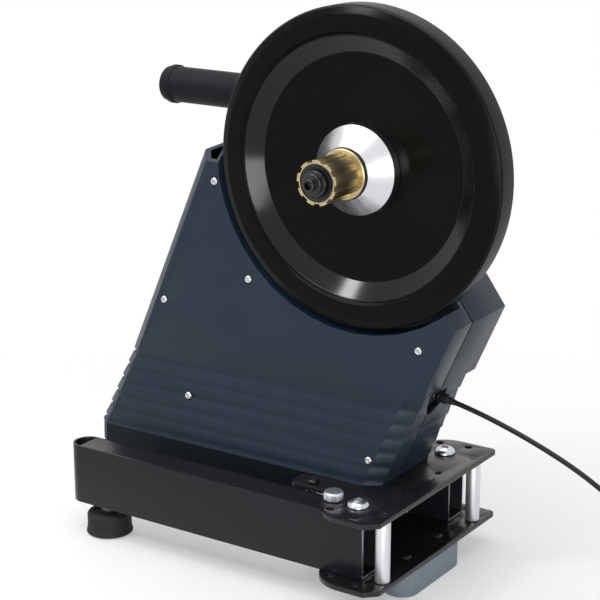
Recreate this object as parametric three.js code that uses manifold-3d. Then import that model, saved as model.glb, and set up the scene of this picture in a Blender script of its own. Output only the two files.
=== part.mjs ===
// Direct drive bike trainer, parked with its legs folded back.
// Lengths are millimetres. X runs forward along the folded legs, Y away from the
// freehub side, Z up. Every size below is measured from the axle's centre line.

import * as THREE from 'three';
import { mergeVertices } from 'three/addons/utils/BufferGeometryUtils.js';
import Module from 'manifold-3d';

const wasm = await Module();
wasm.setup();

// Shared clearances
const seat = 0.3;
const slipGap = 0.6;
const overrun = 3;
const runningGap = 0.4;
const screwClearance = 0.25;

// Main heights and the middle of the base
const axleHeight = 333;
const baseMidY = 25;
const plateTopHeight = 81;

// Upper and lower base plates, cut from one drawing
const plateThickness = 4;
const plateFrontX = 64.5;
const earRadius = 30;
const pivotX = 32;
const pivotHalfSpan = 68;
const nearCornerCut = 9.5;
const farCornerCut = 2.5;
const stemHalfWidth = 53;
const stemEndX = -40;
const stemCornerRadius = 6;

// Folding legs, steel box tube with a half-round end
const legHeight = 50.8;
const legWidth = 25.4;
const legWall = 2;
const legFrontOverhang = 11.5;
const legRoofEndX = -238;

// Leg pivots
const pivotBoltRadius = 5;
const pivotHeadRadius = 8.75;
const pivotHeadHeight = 5.5;
const domeStartAngle = 0.18;
const domeShare = 0.62;
const pivotSocketAcross = 6;
const pivotSocketDepth = 3.1;
const pivotNutAcross = 17;
const pivotNutHeight = 8;

// Lock pins that hold the legs folded or spread
const lockRadius = 22.5;
const lockKnobRadius = 7.85;
const lockKnobHeight = 7;
const lockKnobChamfer = 1;
const lockPinRadius = 3;
const lockHoleRadius = 3.25;
const lockSpreadAngle = 50 * Math.PI / 180;
const spareHoleForward = 10.6;
const spareHoleOutward = 21.2;

// Posts swaged or riveted through both plates
const postRadius = 6;
const postShoulderRadius = 3.8;
const frontPostX = 57;
const frontPostHalfSpan = 72;
const stemPostX = -23;
const stemPostHalfSpan = 47;
const rivetShankRadius = 2.4;
const rivetHeadRadius = 4.5;
const rivetHeadHeight = 2.6;
const crownShare = 0.6;

// Feet
const legFootX = -217;
const legFootRadius = 18.9;
const legFootFlare = 0.8;
const legFootLipHeight = 3;
const legFootLipEnd = 4;
const legFootHeight = 19;
const footStudRadius = 4;
const footStudSink = 14;
const footStudRise = 22;
const footHexAcross = 13;
const footHexHeight = 5.5;
const footBossRadius = 7;
const footBossHeight = 8;
const frontFootLength = 90;
const frontFootWidth = 29;
const frontFootPegHalfSpan = 25;
const frontFootPegRadius = 2.5;
const frontFootPegHeadRadius = 4.6;
const frontFootPegHeadHeight = 2.4;

// Flywheel
const flywheelRadius = 125;
const rimChamferWidth = 7;
const rimChamferRadius = flywheelRadius - rimChamferWidth;
const rimFrontY = -2.5;
const rimCrownInset = 19.5;
const rimCrownRadius = flywheelRadius - rimCrownInset;
const rimCrownY = -3.4;
const rimGrooveInset = 21.5;
const rimGrooveRadius = flywheelRadius - rimGrooveInset;
const rimGrooveY = -1.2;
const bandOuterInset = 23;
const bandOuterRadius = flywheelRadius - bandOuterInset;
const bandOuterY = -0.7;
const bandInnerInset = 36;
const bandInnerRadius = flywheelRadius - bandInnerInset;
const faceY = 7.8;
const webThickness = 6;
const rimBackWidth = 49;
const rimBackInnerRadius = flywheelRadius - rimBackWidth;
const rimBackStep = 3;
const rimBackY = 19.6;
const edgeChamfer = 1;

// Hub that carries the flywheel
const hubNoseRadius = 19.5;
const hubNoseY = -14;
const hubWaistRadius = 26;
const hubWaistY = -7.5;
const hubConeRadius = 35;
const hubConeY = -1;
const hubFlangeRadius = 50;
const hubFlangeThickness = 3.5;
const hubBarrelRadius = 20;
const hubBackY = 33;
const flywheelBoltCount = 3;
const flywheelBoltCircleRadius = 43;
const flywheelBoltRadius = 3;
const flywheelBoltHeadRadius = 5;
const flywheelBoltHeadHeight = 3.4;
const flywheelBoltBite = 4.5;

// Depths of the shells, which the axle's far end and the far frame plate follow
const shellWall = 2.5;
const shellDepth = 82;
const shellNeckStep = 10;
const shellNeckDepth = shellDepth - shellNeckStep;

// Axle, its end caps, bearings and sleeves
const axleRadius = 6;
const axleBoreRadius = 3.1;
const axleEndRadius = 5;
const nearTipY = -65.7;
const nearFaceY = -61;
const capStepY = -57.5;
const capBackY = -54.5;
const capTipRadius = 4.9;
const capFaceRadius = 8;
const farCapProud = 2;
const farFaceY = shellNeckDepth + farCapProud;
const farStubLength = 5;
const farTipY = farFaceY + farStubLength;
const capFloor = 1;
const farCapRadius = 9;
const farCapNeckRadius = 7;
const capRimRadius = 10;
const collarRadius = 9;
const collarFrontY = 32.8;
const bearingInnerRadius = axleRadius + runningGap / 2;
const hubBearingRadius = 14;
const hubBearingWidth = 8;
const hubBearingNearY = -3.5;
const hubBearingFarY = 24.5;
const freehubBearingRadius = 12;
const freehubBearingWidth = 7;

// Freehub
const freehubFrontY = -54.2;
const freehubFlangeY = -19;
const freehubBackY = -16.5;
const splineCount = 9;
const splineRadius = 17.3;
const splineRootRadius = 15.6;
const splineShare = 0.56;
const freehubFlangeRadius = 19.7;
const freehubBoreRadius = 8.8;
const neckRadius = 12;
const neckEndY = -4.5;
const sealRadius = 20.4;
const pawlCount = 2;
const pawlLength = 8;
const pawlWidth = 6;
const pawlTipRadius = 14.4;
const pawlSeatRadius = 10.6;
const pawlSeatGap = 1;
const ratchetTipRadius = 15;
const ratchetRootRadius = 16;
const ratchetTeeth = 15;
const ratchetBackY = -4.6;

// Upright frame: two steel plates that carry the axle and the handle
const framePlateThickness = 4;
const nearPlateY = 35;
const farPlateShellGap = 3.5;
const farPlateY = shellNeckDepth - shellWall - framePlateThickness - farPlateShellGap;
const frameFootFrontX = 6;
const frameFootBackX = -36;
const frameFlangeWidth = 21;
const frameWaistX = 12;
const frameWaistDrop = 200;
const frameShoulderX = 30;
const frameShoulderDrop = 60;
const frameHeadX = 28;
const frameHeadBackX = -22;
const frameHeadHeight = 50;
const frameNeckBackX = -34;
const brakeWingX = -104;
const brakeWingHighDrop = 34;
const brakeWingLowDrop = 60;
const brakeWingFootX = -60;
const brakeWingFootDrop = 104;
const frameBoltRadius = 3;
const frameBoltHeadRadius = 5;
const frameBoltHeadHeight = 3.6;
const frameBoltTail = 1;
const footBoltInset = 10;
const footBoltX = -15;

// Handle
const handleZ = 39.3;
const handleTubeRadius = 11.1;
const handleTubeWall = 1.6;
const handleTubeFrontX = 29;
const handleTubeBackX = -212.6;
const handleBoltXs = [-15, 18];
const gripRadius = 14.8;
const gripFrontX = -95;
const gripRingRadius = 16.1;
const gripBackX = -217.6;
const gripEndBevel = 3;
const gripRingBackX = -211;
const gripRingWidth = 6;
const gripFrontRingWidth = 4;
const gripBackWall = 4.6;

// Shells
const shellNeckDrop = 60;
const shellShoulderDrop = 90;
const seamY = 29;
const wellClearance = 5;
const wellRadius = flywheelRadius + wellClearance;
const wellFloorY = 23;
const hubHoleRadius = 24;
const edgeFacetX = 10.1;
const edgeFacetY = 9;
const facetTopDrop = 9.4;
const facetSlopeShare = 0.789;
const facetReachY = 20;
const leftTopX = -148;
const leftTopDrop = 2.3;
const leftSlopeShare = 0.436;
const peakX = -20;
const peakHeight = 57;
const crownX = 30;
const crownHeight = 60;
const browX = 62;
const browHeight = 25;
const browFootDrop = 75.7;
const noseX = 88.9;
const noseDrop = 113;
const chinX = 63.6;
const chinDrop = 170;
const ledgeX = 45.7;
const ledgeDrop = 176;
const endTopX = 59;
const endSlopeShare = 0.421;
const bevelX = 13.3;
const bevelY = 9;
const boardTopDrop = 183.9;
const boardPitch = 12.4;
const boardCount = 6;
const boardLip = 0.9;
const shellBottomDrop = 251.7;
const frontFlare = 9;
const bellyEndX = -42;
const bellyDrop = 272;
const bellyFrontTopY = -8;
const bellyFrontY = 2;
const bellyBackTopY = 79;
const bellyBackY = 74;

// Screws that close the shells, each seen from the front
const shellScrewPlaces = [
  [-133.4, -25.4], [-186.9, -132.8], [-100.7, -101.9],
  [-160.4, -211.5], [57.7, -134.1], [18, -230],
];
const shellScrewHeadRadius = 3.3;
const shellScrewHeadHeight = 2.1;
const shellScrewPocketRadius = 4;
const shellScrewPocketDepth = 1.4;
const shellScrewRadius = 1.5;
const shellScrewLength = 40;
const shellBossRadius = 5;

// Magnet brake
const magnetInset = 37;
const magnetCircleRadius = flywheelRadius - magnetInset;
const magnetHalfWidth = 8.5;
const magnetThickness = 4;
const magnetFrontY = 26;
const magnetHalfAngle = 30 * Math.PI / 180;
const carrierMidAngle = 225 * Math.PI / 180;
const carrierInnerInset = 62;
const carrierInnerRadius = flywheelRadius - carrierInnerInset;
const carrierOuterInset = 13;
const carrierOuterRadius = flywheelRadius - carrierOuterInset;
const carrierSpreadAngle = 34 * Math.PI / 180;
const carrierThickness = 4;
const windowMargin = 2;
const guidePinRadius = 3;
const guidePinInset = 21;
const guidePinCircleRadius = flywheelRadius - guidePinInset;
const guidePinAngles = [207 * Math.PI / 180, 243 * Math.PI / 180];
const leadScrewRadius = 2.6;
const leadScrewInset = 55;
const leadScrewCircleRadius = flywheelRadius - leadScrewInset;
const motorRadius = 11.5;
const motorLength = 26;
const motorBossRadius = 5;

// Control board
const boardLength = 76;
const boardHeight = 56;
const boardThickness = 1.6;
const boardX = -108;
const boardZ = -210;
const boardStandoff = 14;
const boardY = shellDepth - boardStandoff;
const boardPostRadius = 3;
const boardPegRadius = 1.3;
const boardPegHeadRadius = 2.1;
const boardPegHeadHeight = 1.4;
const frameSeatPlaces = [[12, 30], [8, -40], [-16, 24]];
const boardScrewInset = 5;
const chipBlocks = [[-20, 8, 22, 16, 6], [14, -8, 18, 26, 9], [-22, -16, 12, 12, 4]];

// Connectors in the front end of the shell
const plugX = 49.4;
const plugY = 38;
const plugZ = -180.5;
const plugTilt = 10.4 * Math.PI / 180;
const trayNearY = 13;
const trayFarY = 50;
const trayTopDrop = 173.6;
const trayBottomDrop = 199.4;
const trayWall = 2;
const trayDrillReach = 4;
const recessNearY = 16.5;
const recessFarY = 46;
const recessTopDrop = 176;
const recessBottomDrop = 197.5;
const recessRightDrop = 190;
const jackRadius = 3.9;
const jackBoreRadius = 2.9;
const jackBackX = -9;
const jackWall = 2;
const jackFrontX = 4;
const sensorJackRadius = 3.2;
const sensorJackBoreRadius = 1.75;
const sensorJackSpacing = 11.5;
const sensorJackDrop = 1.5;
const sensorJackFrontX = 1;
const plugPinRadius = 2.5;
const plugPinLength = 9;
const plugBodyRadius = 4.1;
const plugBodyFrontX = 15;
const reliefLength = 7;
const reliefRadius = 3.2;

// Power lead: 1.5 m long, its unseen length wound into a coil beside its adapter
const leadRadius = 2;
const leadSides = 6;
const leadStepLength = 9;
const leadPlaces = [
  [84, -187.1], [97, -190.2], [110, -193.8], [127, -199], [148, -206.3], [170, -215.2],
  [190, -225], [209, -236.5], [226, -250], [240, -265.5], [251, -282], [261, -299],
  [271, -314], [283, -325.5], [298, -330.6], [310, -331],
];
const coilSides = 6;
const coilStepsPerTurn = 20;
const coilTurns = 7.5;
const coilPitch = 4.5;
const coilInnerRadius = 16.2;
const coilLayerRise = 4.5;
const coilX = 325;
const coilEndRun = 32;
const adapterLength = 62;
const adapterWidth = 44;
const adapterHeight = 30;
const adapterCorner = 5;
const adapterReliefLength = 12;
const adapterReliefRadius = 3.4;
const bladeLength = 17;
const bladeHeight = 6.4;
const bladeThickness = 1.6;
const bladeHalfSpan = 6.35;

// Heights worked out from the sizes above, from the axle down
const floorZ = -axleHeight;
const upperTopZ = floorZ + plateTopHeight;
const upperBottomZ = upperTopZ - plateThickness;
const legTopZ = upperBottomZ - runningGap;
const legBottomZ = legTopZ - legHeight;
const lowerTopZ = legBottomZ - runningGap;
const lowerBottomZ = lowerTopZ - plateThickness;
const plateHalfWidth = pivotHalfSpan + earRadius;
const legEndX = legRoofEndX - legWidth / 2;
const legFrontX = pivotX + legFrontOverhang;
const webBackY = faceY + webThickness;
const flangeFrontY = webBackY + seat;
const flangeBackY = flangeFrontY + hubFlangeThickness;
const guidePinFrontY = wellFloorY + shellWall + seat;
const axleNearY = nearFaceY + capFloor + seat;
const axleFarY = farFaceY - capFloor - seat;
const freehubBearingNearY = freehubFrontY + slipGap;
const freehubBearingFarY = freehubFlangeY - freehubBearingWidth;
const footBoltYs = [nearPlateY - footBoltInset, farPlateY - footBoltInset];
const handleY = (nearPlateY + framePlateThickness + farPlateY) / 2;
const nearPlateBackY = nearPlateY + framePlateThickness;
const farPlateBackY = farPlateY + framePlateThickness;
const carrierFrontY = magnetFrontY + magnetThickness + seat;
const leadScrewX = leadScrewCircleRadius * Math.cos(carrierMidAngle);
const leadScrewZ = leadScrewCircleRadius * Math.sin(carrierMidAngle);

// Materials
function finish(colour, roughness, metalness) {
  return new THREE.MeshStandardMaterial({ color: colour, roughness, metalness });
}

const finishes = {
  navyShell: () => finish(0x2c3d50, 0.55, 0.0),
  blackEnamel: () => finish(0x17171a, 0.3, 0.2),
  glossBlack: () => finish(0x0b0b0c, 0.12, 0.3),
  turnedAluminium: () => finish(0xc9ccd0, 0.25, 0.95),
  goldHub: () => finish(0xc2a566, 0.3, 0.9),
  zincSteel: () => finish(0xb9c0c6, 0.3, 0.9),
  greySteel: () => finish(0x70757b, 0.45, 0.8),
  blackPlastic: () => finish(0x141416, 0.5, 0.0),
  blackRubber: () => finish(0x1a1a1b, 0.85, 0.0),
  gripRubber: () => finish(0x232426, 0.8, 0.0),
  greyPlastic: () => finish(0x6b7681, 0.55, 0.0),
  magnet: () => finish(0x8c8f93, 0.35, 0.85),
  boardGreen: () => finish(0x1f5a3a, 0.5, 0.0),
  brass: () => finish(0xb59a52, 0.35, 0.9),
};

// Closed solids from three.js geometries
function signedVolume(positions, indices) {
  const a = new THREE.Vector3();
  const b = new THREE.Vector3();
  const c = new THREE.Vector3();
  let volume = 0;
  for (let i = 0; i < indices.length; i += 3) {
    a.fromArray(positions, 3 * indices[i]);
    b.fromArray(positions, 3 * indices[i + 1]);
    c.fromArray(positions, 3 * indices[i + 2]);
    volume += a.dot(b.cross(c));
  }
  return volume;
}

function solidOf(geometry) {
  geometry.deleteAttribute('normal');
  geometry.deleteAttribute('uv');
  const merged = mergeVertices(geometry);
  const positions = merged.getAttribute('position').array;
  const source = merged.getIndex().array;
  const kept = [];
  for (let i = 0; i < source.length; i += 3) {
    const [p, q, r] = [source[i], source[i + 1], source[i + 2]];
    if (p !== q && q !== r && r !== p) kept.push(p, q, r);
  }
  if (signedVolume(positions, kept) < 0) kept.reverse();
  return new wasm.Manifold(new wasm.Mesh({
    numProp: 3,
    vertProperties: Float32Array.from(positions),
    triVerts: Uint32Array.from(kept),
  }));
}

function join(solids) {
  return solids.reduce((whole, next) => whole.add(next));
}

function cut(solid, cutters) {
  return cutters.reduce((rest, cutter) => rest.subtract(cutter), solid);
}

// Shapes: blocks, turned pieces, plates and lofts
function block(x0, x1, y0, y1, z0, z1) {
  const geometry = new THREE.BoxGeometry(x1 - x0, y1 - y0, z1 - z0);
  geometry.translate((x0 + x1) / 2, (y0 + y1) / 2, (z0 + z1) / 2);
  return solidOf(geometry);
}

function turnAlong(geometry, axis, a, b) {
  if (axis === 'x') geometry.rotateZ(-Math.PI / 2).translate(0, a, b);
  if (axis === 'y') geometry.translate(a, 0, b);
  if (axis === 'z') geometry.rotateX(Math.PI / 2).translate(a, b, 0);
  return geometry;
}

function turned(axis, a, b, profile, facets = 20) {
  const points = profile.map(([radius, along]) => new THREE.Vector2(radius, along));
  const geometry = new THREE.LatheGeometry(points, facets);
  return solidOf(turnAlong(geometry, axis, a, b));
}

function rod(axis, a, b, radius, from, to, facets = 16) {
  return turned(axis, a, b, [[0, from], [radius, from], [radius, to], [0, to]], facets);
}

function ring(axis, a, b, outer, inner, from, to, facets = 20) {
  const profile = [[inner, from], [outer, from], [outer, to], [inner, to], [inner, from]];
  return turned(axis, a, b, profile, facets);
}

function hexagon(axis, a, b, across, from, to) {
  return rod(axis, a, b, across / Math.sqrt(3), from, to, 6);
}

function shapeOf(points) {
  return new THREE.Shape(points.map(([u, v]) => new THREE.Vector2(u, v)));
}

function plateZ(shape, z0, z1, curveSegments = 5) {
  const settings = { depth: z1 - z0, bevelEnabled: false, curveSegments };
  const geometry = new THREE.ExtrudeGeometry(shape, settings);
  return solidOf(geometry.translate(0, 0, z0));
}

function plateY(shape, y0, y1, curveSegments = 10) {
  const settings = { depth: y1 - y0, bevelEnabled: false, curveSegments };
  const geometry = new THREE.ExtrudeGeometry(shape, settings);
  return solidOf(geometry.rotateX(Math.PI / 2).translate(0, y1, 0));
}

function plateX(shape, x0, x1) {
  const settings = { depth: x1 - x0, bevelEnabled: false };
  const geometry = new THREE.ExtrudeGeometry(shape, settings);
  geometry.rotateX(Math.PI / 2).rotateZ(Math.PI / 2);
  return solidOf(geometry.translate(x0, 0, 0));
}

// A loft joins two like polygons, each at its own height
function loft(lowerLevel, upperLevel) {
  const count = lowerLevel.length;
  const clockwise = THREE.ShapeUtils.area(lowerLevel.map(([x, y]) => ({ x, y }))) < 0;
  const [lower, upper] = [lowerLevel, upperLevel].map((level) => (
    clockwise ? [...level].reverse() : level));
  const flat = lower.map(([x, y]) => new THREE.Vector2(x, y));
  const faces = THREE.ShapeUtils.triangulateShape(flat, []);
  const indices = [];
  for (const [p, q, r] of faces) {
    indices.push(r, q, p, count + p, count + q, count + r);
  }
  for (let i = 0; i < count; i += 1) {
    const next = (i + 1) % count;
    indices.push(i, next, count + next, i, count + next, count + i);
  }
  const geometry = new THREE.BufferGeometry();
  const corners = new Float32Array([...lower, ...upper].flat());
  geometry.setAttribute('position', new THREE.BufferAttribute(corners, 3));
  geometry.setIndex(indices);
  return solidOf(geometry);
}

// Moves each edge of an outline inwards by one distance
function insetOutline(points, distance) {
  const area = points.reduce((sum, [x, z], i) => {
    const [nx, nz] = points[(i + 1) % points.length];
    return sum + x * nz - nx * z;
  }, 0);
  const turn = Math.sign(area);
  const edges = points.map(([x, z], i) => {
    const [nx, nz] = points[(i + 1) % points.length];
    const length = Math.hypot(nx - x, nz - z);
    const normal = [-turn * (nz - z) / length, turn * (nx - x) / length];
    return { normal, reach: normal[0] * x + normal[1] * z + distance };
  });
  return points.map((point, i) => {
    const before = edges[(i + points.length - 1) % points.length];
    const after = edges[i];
    const [a, b] = before.normal;
    const [c, d] = after.normal;
    const scale = a * d - b * c;
    return [(before.reach * d - after.reach * b) / scale,
      (after.reach * a - before.reach * c) / scale];
  });
}

const assembly = new THREE.Group();

function addPiece(name, solid, material) {
  const mesh = solid.getMesh();
  const geometry = new THREE.BufferGeometry();
  geometry.setAttribute('position', new THREE.BufferAttribute(mesh.vertProperties, 3));
  geometry.setIndex(new THREE.BufferAttribute(mesh.triVerts, 1));
  geometry.computeVertexNormals();
  const piece = new THREE.Mesh(geometry, material);
  piece.name = name;
  assembly.add(piece);
}

// The two sides of the base: -1 is the freehub side, 1 the far side
const sides = [['near', -1], ['far', 1]];

function sideY(side, offset) {
  return baseMidY + side * offset;
}

// Base plates
function plateShape() {
  const half = plateHalfWidth;
  const stemBend = Math.asin((pivotHalfSpan - stemHalfWidth) / earRadius);
  const shape = new THREE.Shape();
  shape.moveTo(plateFrontX, baseMidY - half + nearCornerCut);
  shape.lineTo(plateFrontX, baseMidY + half - farCornerCut);
  shape.lineTo(plateFrontX - farCornerCut, baseMidY + half);
  shape.absarc(pivotX, sideY(1, pivotHalfSpan), earRadius, Math.PI / 2, Math.PI + stemBend, false);
  shape.absarc(stemEndX + stemCornerRadius, sideY(1, stemHalfWidth - stemCornerRadius),
    stemCornerRadius, Math.PI / 2, Math.PI, false);
  shape.absarc(stemEndX + stemCornerRadius, sideY(-1, stemHalfWidth - stemCornerRadius),
    stemCornerRadius, Math.PI, 1.5 * Math.PI, false);
  shape.absarc(pivotX, sideY(-1, pivotHalfSpan), earRadius, Math.PI - stemBend, 1.5 * Math.PI, false);
  shape.lineTo(plateFrontX - nearCornerCut, baseMidY - half);
  return shape;
}

function lockPlace(side, angle) {
  return [pivotX - lockRadius * Math.cos(angle),
    sideY(side, pivotHalfSpan + lockRadius * Math.sin(angle))];
}

function basePlate(z0, z1) {
  const holes = [];
  const drill = (x, y, radius) => {
    holes.push(rod('z', x, y, radius / Math.cos(Math.PI / 8), z0 - overrun, z1 + overrun, 8));
  };
  for (const [, side] of sides) {
    drill(pivotX, sideY(side, pivotHalfSpan), pivotBoltRadius + seat);
    drill(frontPostX, sideY(side, frontPostHalfSpan), postShoulderRadius + screwClearance);
    drill(stemPostX, sideY(side, stemPostHalfSpan), rivetShankRadius + seat);
    drill(...lockPlace(side, 0), lockHoleRadius);
    drill(...lockPlace(side, lockSpreadAngle), lockHoleRadius);
    drill(pivotX + spareHoleForward, sideY(side, pivotHalfSpan + spareHoleOutward), lockHoleRadius);
    drill(plateFrontX - frontFootWidth / 2, sideY(side, frontFootPegHalfSpan),
      frontFootPegRadius + screwClearance);
  }
  for (const y of footBoltYs) drill(footBoltX, y, frameBoltRadius + screwClearance);
  return cut(plateZ(plateShape(), z0, z1), holes);
}

// The lower plate carries a welded nut under each pivot
function lowerPlate() {
  const nuts = sides.map(([, side]) => hexagon('z', pivotX, sideY(side, pivotHalfSpan),
    pivotNutAcross, lowerBottomZ - pivotNutHeight, lowerTopZ));
  const bores = sides.map(([, side]) => rod('z', pivotX, sideY(side, pivotHalfSpan),
    pivotBoltRadius + seat, lowerBottomZ - pivotNutHeight - overrun, lowerTopZ + overrun, 16));
  return cut(join([basePlate(lowerBottomZ, lowerTopZ), ...nuts]), bores);
}

addPiece('upper_plate', basePlate(upperBottomZ, upperTopZ), finishes.blackEnamel());
addPiece('lower_plate', lowerPlate(), finishes.blackEnamel());

// Posts between the plates. Front ones are swaged flush, stem ones riveted over
function frontPost(x, y) {
  return turned('z', x, y, [
    [0, lowerBottomZ], [postShoulderRadius, lowerBottomZ],
    [postShoulderRadius, lowerTopZ + seat], [postRadius, lowerTopZ + seat],
    [postRadius, upperBottomZ - seat], [postShoulderRadius, upperBottomZ - seat],
    [postShoulderRadius, upperTopZ], [0, upperTopZ],
  ], 14);
}

function stemPost(x, y) {
  const crown = rivetHeadRadius * crownShare;
  const foot = lowerBottomZ - seat;
  const top = upperTopZ + seat;
  return turned('z', x, y, [
    [0, foot - rivetHeadHeight], [crown, foot - rivetHeadHeight],
    [rivetHeadRadius, foot - rivetHeadHeight * crownShare], [rivetHeadRadius, foot],
    [rivetShankRadius, foot], [rivetShankRadius, lowerTopZ + seat],
    [postRadius, lowerTopZ + seat], [postRadius, upperBottomZ - seat],
    [rivetShankRadius, upperBottomZ - seat], [rivetShankRadius, top], [rivetHeadRadius, top],
    [rivetHeadRadius, top + rivetHeadHeight * crownShare], [crown, top + rivetHeadHeight],
    [0, top + rivetHeadHeight],
  ], 8);
}

// A pan head screw along an axis: head on the side that dir points to
function panScrew(axis, a, b, seatAt, dir, headRadius, headHeight, radius, length) {
  const crown = headRadius * crownShare;
  return turned(axis, a, b, [
    [0, seatAt - dir * length], [radius, seatAt - dir * length], [radius, seatAt],
    [headRadius, seatAt], [headRadius, seatAt + dir * headHeight * crownShare],
    [crown, seatAt + dir * headHeight], [0, seatAt + dir * headHeight],
  ], 9);
}

for (const [name, side] of sides) {
  addPiece(`${name}_front_post`, frontPost(frontPostX, sideY(side, frontPostHalfSpan)),
    finishes.turnedAluminium());
  addPiece(`${name}_stem_post`, stemPost(stemPostX, sideY(side, stemPostHalfSpan)),
    finishes.zincSteel());
}

// Leg pivots
function pivotBolt(x, y) {
  const headZ = upperTopZ + seat;
  const tipZ = lowerBottomZ - pivotNutHeight;
  const profile = [[0, tipZ], [pivotBoltRadius, tipZ], [pivotBoltRadius, headZ],
    [pivotHeadRadius, headZ]];
  const domeSteps = 3;
  for (let i = 0; i <= domeSteps; i += 1) {
    const angle = (Math.PI / 2) * (i / domeSteps) * domeShare + domeStartAngle;
    profile.push([pivotHeadRadius * Math.cos(angle) / Math.cos(domeStartAngle),
      headZ + pivotHeadHeight * Math.sin(angle)]);
  }
  profile.push([0, headZ + pivotHeadHeight * Math.sin((Math.PI / 2) * domeShare + domeStartAngle)]);
  const bolt = turned('z', x, y, profile, 16);
  const top = headZ + pivotHeadHeight;
  return bolt.subtract(hexagon('z', x, y, pivotSocketAcross, top - pivotSocketDepth, top + overrun));
}

for (const [name, side] of sides) {
  addPiece(`${name}_pivot_bolt`, pivotBolt(pivotX, sideY(side, pivotHalfSpan)),
    finishes.zincSteel());
}

// Legs
function racetrack(x0, x1, y, halfWidth) {
  const shape = new THREE.Shape();
  shape.moveTo(x1, y - halfWidth);
  shape.lineTo(x1, y + halfWidth);
  shape.absarc(x0 + halfWidth, y, halfWidth, Math.PI / 2, 1.5 * Math.PI, false);
  return shape;
}

function legTube(side) {
  const y = sideY(side, pivotHalfSpan);
  const half = legWidth / 2;
  const inner = half - legWall;
  const outside = plateZ(racetrack(legEndX, legFrontX, y, half), legBottomZ, legTopZ);
  const hollow = block(legRoofEndX, legFrontX + overrun, y - inner, y + inner,
    legBottomZ + legWall, legTopZ - legWall);
  const openEnd = plateZ(racetrack(legEndX + legWall, legRoofEndX, y, inner),
    legBottomZ - overrun, legTopZ + overrun);
  const boss = rod('z', legFootX, y, footBossRadius, legBottomZ + legWall / 2,
    legBottomZ + legWall + footBossHeight, 20);
  const shell = cut(outside, [hollow, openEnd]).add(boss);
  return cut(shell, [
    rod('z', pivotX, y, pivotBoltRadius + seat, legBottomZ - overrun, legTopZ + overrun),
    rod('z', pivotX - lockRadius, y, lockHoleRadius, legTopZ - legWall - overrun,
      legTopZ + overrun, 16),
    rod('z', legFootX, y, footStudRadius + screwClearance, legBottomZ - overrun,
      legBottomZ + legWall + footBossHeight + overrun, 16),
  ]);
}

// Leg feet: a rubber pad on a threaded stud, which has a hexagon for the spanner
function footStud(y) {
  const top = floorZ + legFootHeight;
  const hexTop = legBottomZ - seat;
  return rod('z', legFootX, y, footStudRadius, top - footStudSink, top + footStudRise, 16)
    .add(hexagon('z', legFootX, y, footHexAcross, hexTop - footHexHeight, hexTop));
}

function legFoot(y) {
  const top = floorZ + legFootHeight;
  const rim = legFootFlare;
  const pad = turned('z', legFootX, y, [
    [0, floorZ], [legFootRadius + rim - edgeChamfer, floorZ],
    [legFootRadius + rim, floorZ + edgeChamfer],
    [legFootRadius + rim, floorZ + legFootLipHeight], [legFootRadius, floorZ + legFootLipEnd],
    [legFootRadius, top - edgeChamfer], [legFootRadius - edgeChamfer, top], [0, top],
  ], 16);
  return pad.subtract(rod('z', legFootX, y, footStudRadius + seat,
    top - footStudSink - seat, top + overrun, 16));
}

for (const [name, side] of sides) {
  const y = sideY(side, pivotHalfSpan);
  addPiece(`${name}_leg_tube`, legTube(side), finishes.blackEnamel());
  addPiece(`${name}_leg_foot`, legFoot(y), finishes.blackRubber());
  addPiece(`${name}_foot_stud`, footStud(y), finishes.zincSteel());
  const [lockX, lockY] = lockPlace(side, 0);
  const knobZ = upperTopZ + seat;
  addPiece(`${name}_lock_pin`, turned('z', lockX, lockY, [
    [0, upperBottomZ], [lockPinRadius, upperBottomZ], [lockPinRadius, knobZ],
    [lockKnobRadius, knobZ], [lockKnobRadius, knobZ + lockKnobHeight - lockKnobChamfer],
    [lockKnobRadius - lockKnobChamfer, knobZ + lockKnobHeight], [0, knobZ + lockKnobHeight],
  ], 16), finishes.turnedAluminium());
}

// Front foot, snapped into the lower plate by two headed pegs
function frontFoot() {
  const radius = frontFootWidth / 2;
  const x = plateFrontX - radius;
  const top = lowerBottomZ - seat;
  const y0 = baseMidY - frontFootLength / 2 + radius;
  const y1 = baseMidY + frontFootLength / 2 - radius;
  const shape = new THREE.Shape();
  shape.absarc(x, y1, radius, 0, Math.PI, false);
  shape.absarc(x, y0, radius, Math.PI, 2 * Math.PI, false);
  const headZ = lowerTopZ + seat;
  const crown = frontFootPegHeadRadius * crownShare;
  const pegs = sides.map(([, side]) => turned('z', x, sideY(side, frontFootPegHalfSpan), [
    [0, top - overrun], [frontFootPegRadius, top - overrun], [frontFootPegRadius, headZ],
    [frontFootPegHeadRadius, headZ],
    [frontFootPegHeadRadius, headZ + frontFootPegHeadHeight * crownShare],
    [crown, headZ + frontFootPegHeadHeight], [0, headZ + frontFootPegHeadHeight],
  ], 8));
  return join([plateZ(shape, floorZ, top, 8), ...pegs]);
}

addPiece('front_foot', frontFoot(), finishes.greyPlastic());

// Upright frame plates, each with a flange bolted to the upper base plate.
// The near one has a wing with two welded pins that guide the magnet carrier.
function frameOutline(withWing) {
  const foot = upperTopZ + seat;
  const wing = [
    [frameNeckBackX, 0], [brakeWingX, -brakeWingHighDrop], [brakeWingX, -brakeWingLowDrop],
    [brakeWingFootX, -brakeWingFootDrop], [frameFootBackX, -brakeWingFootDrop],
  ];
  return [
    [frameFootBackX, foot], [frameFootFrontX, foot], [frameWaistX, -frameWaistDrop],
    [frameShoulderX, -frameShoulderDrop], [frameHeadX, frameHeadHeight],
    [frameHeadBackX, frameHeadHeight], ...(withWing ? wing : [[frameNeckBackX, 0]]),
  ];
}

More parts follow.
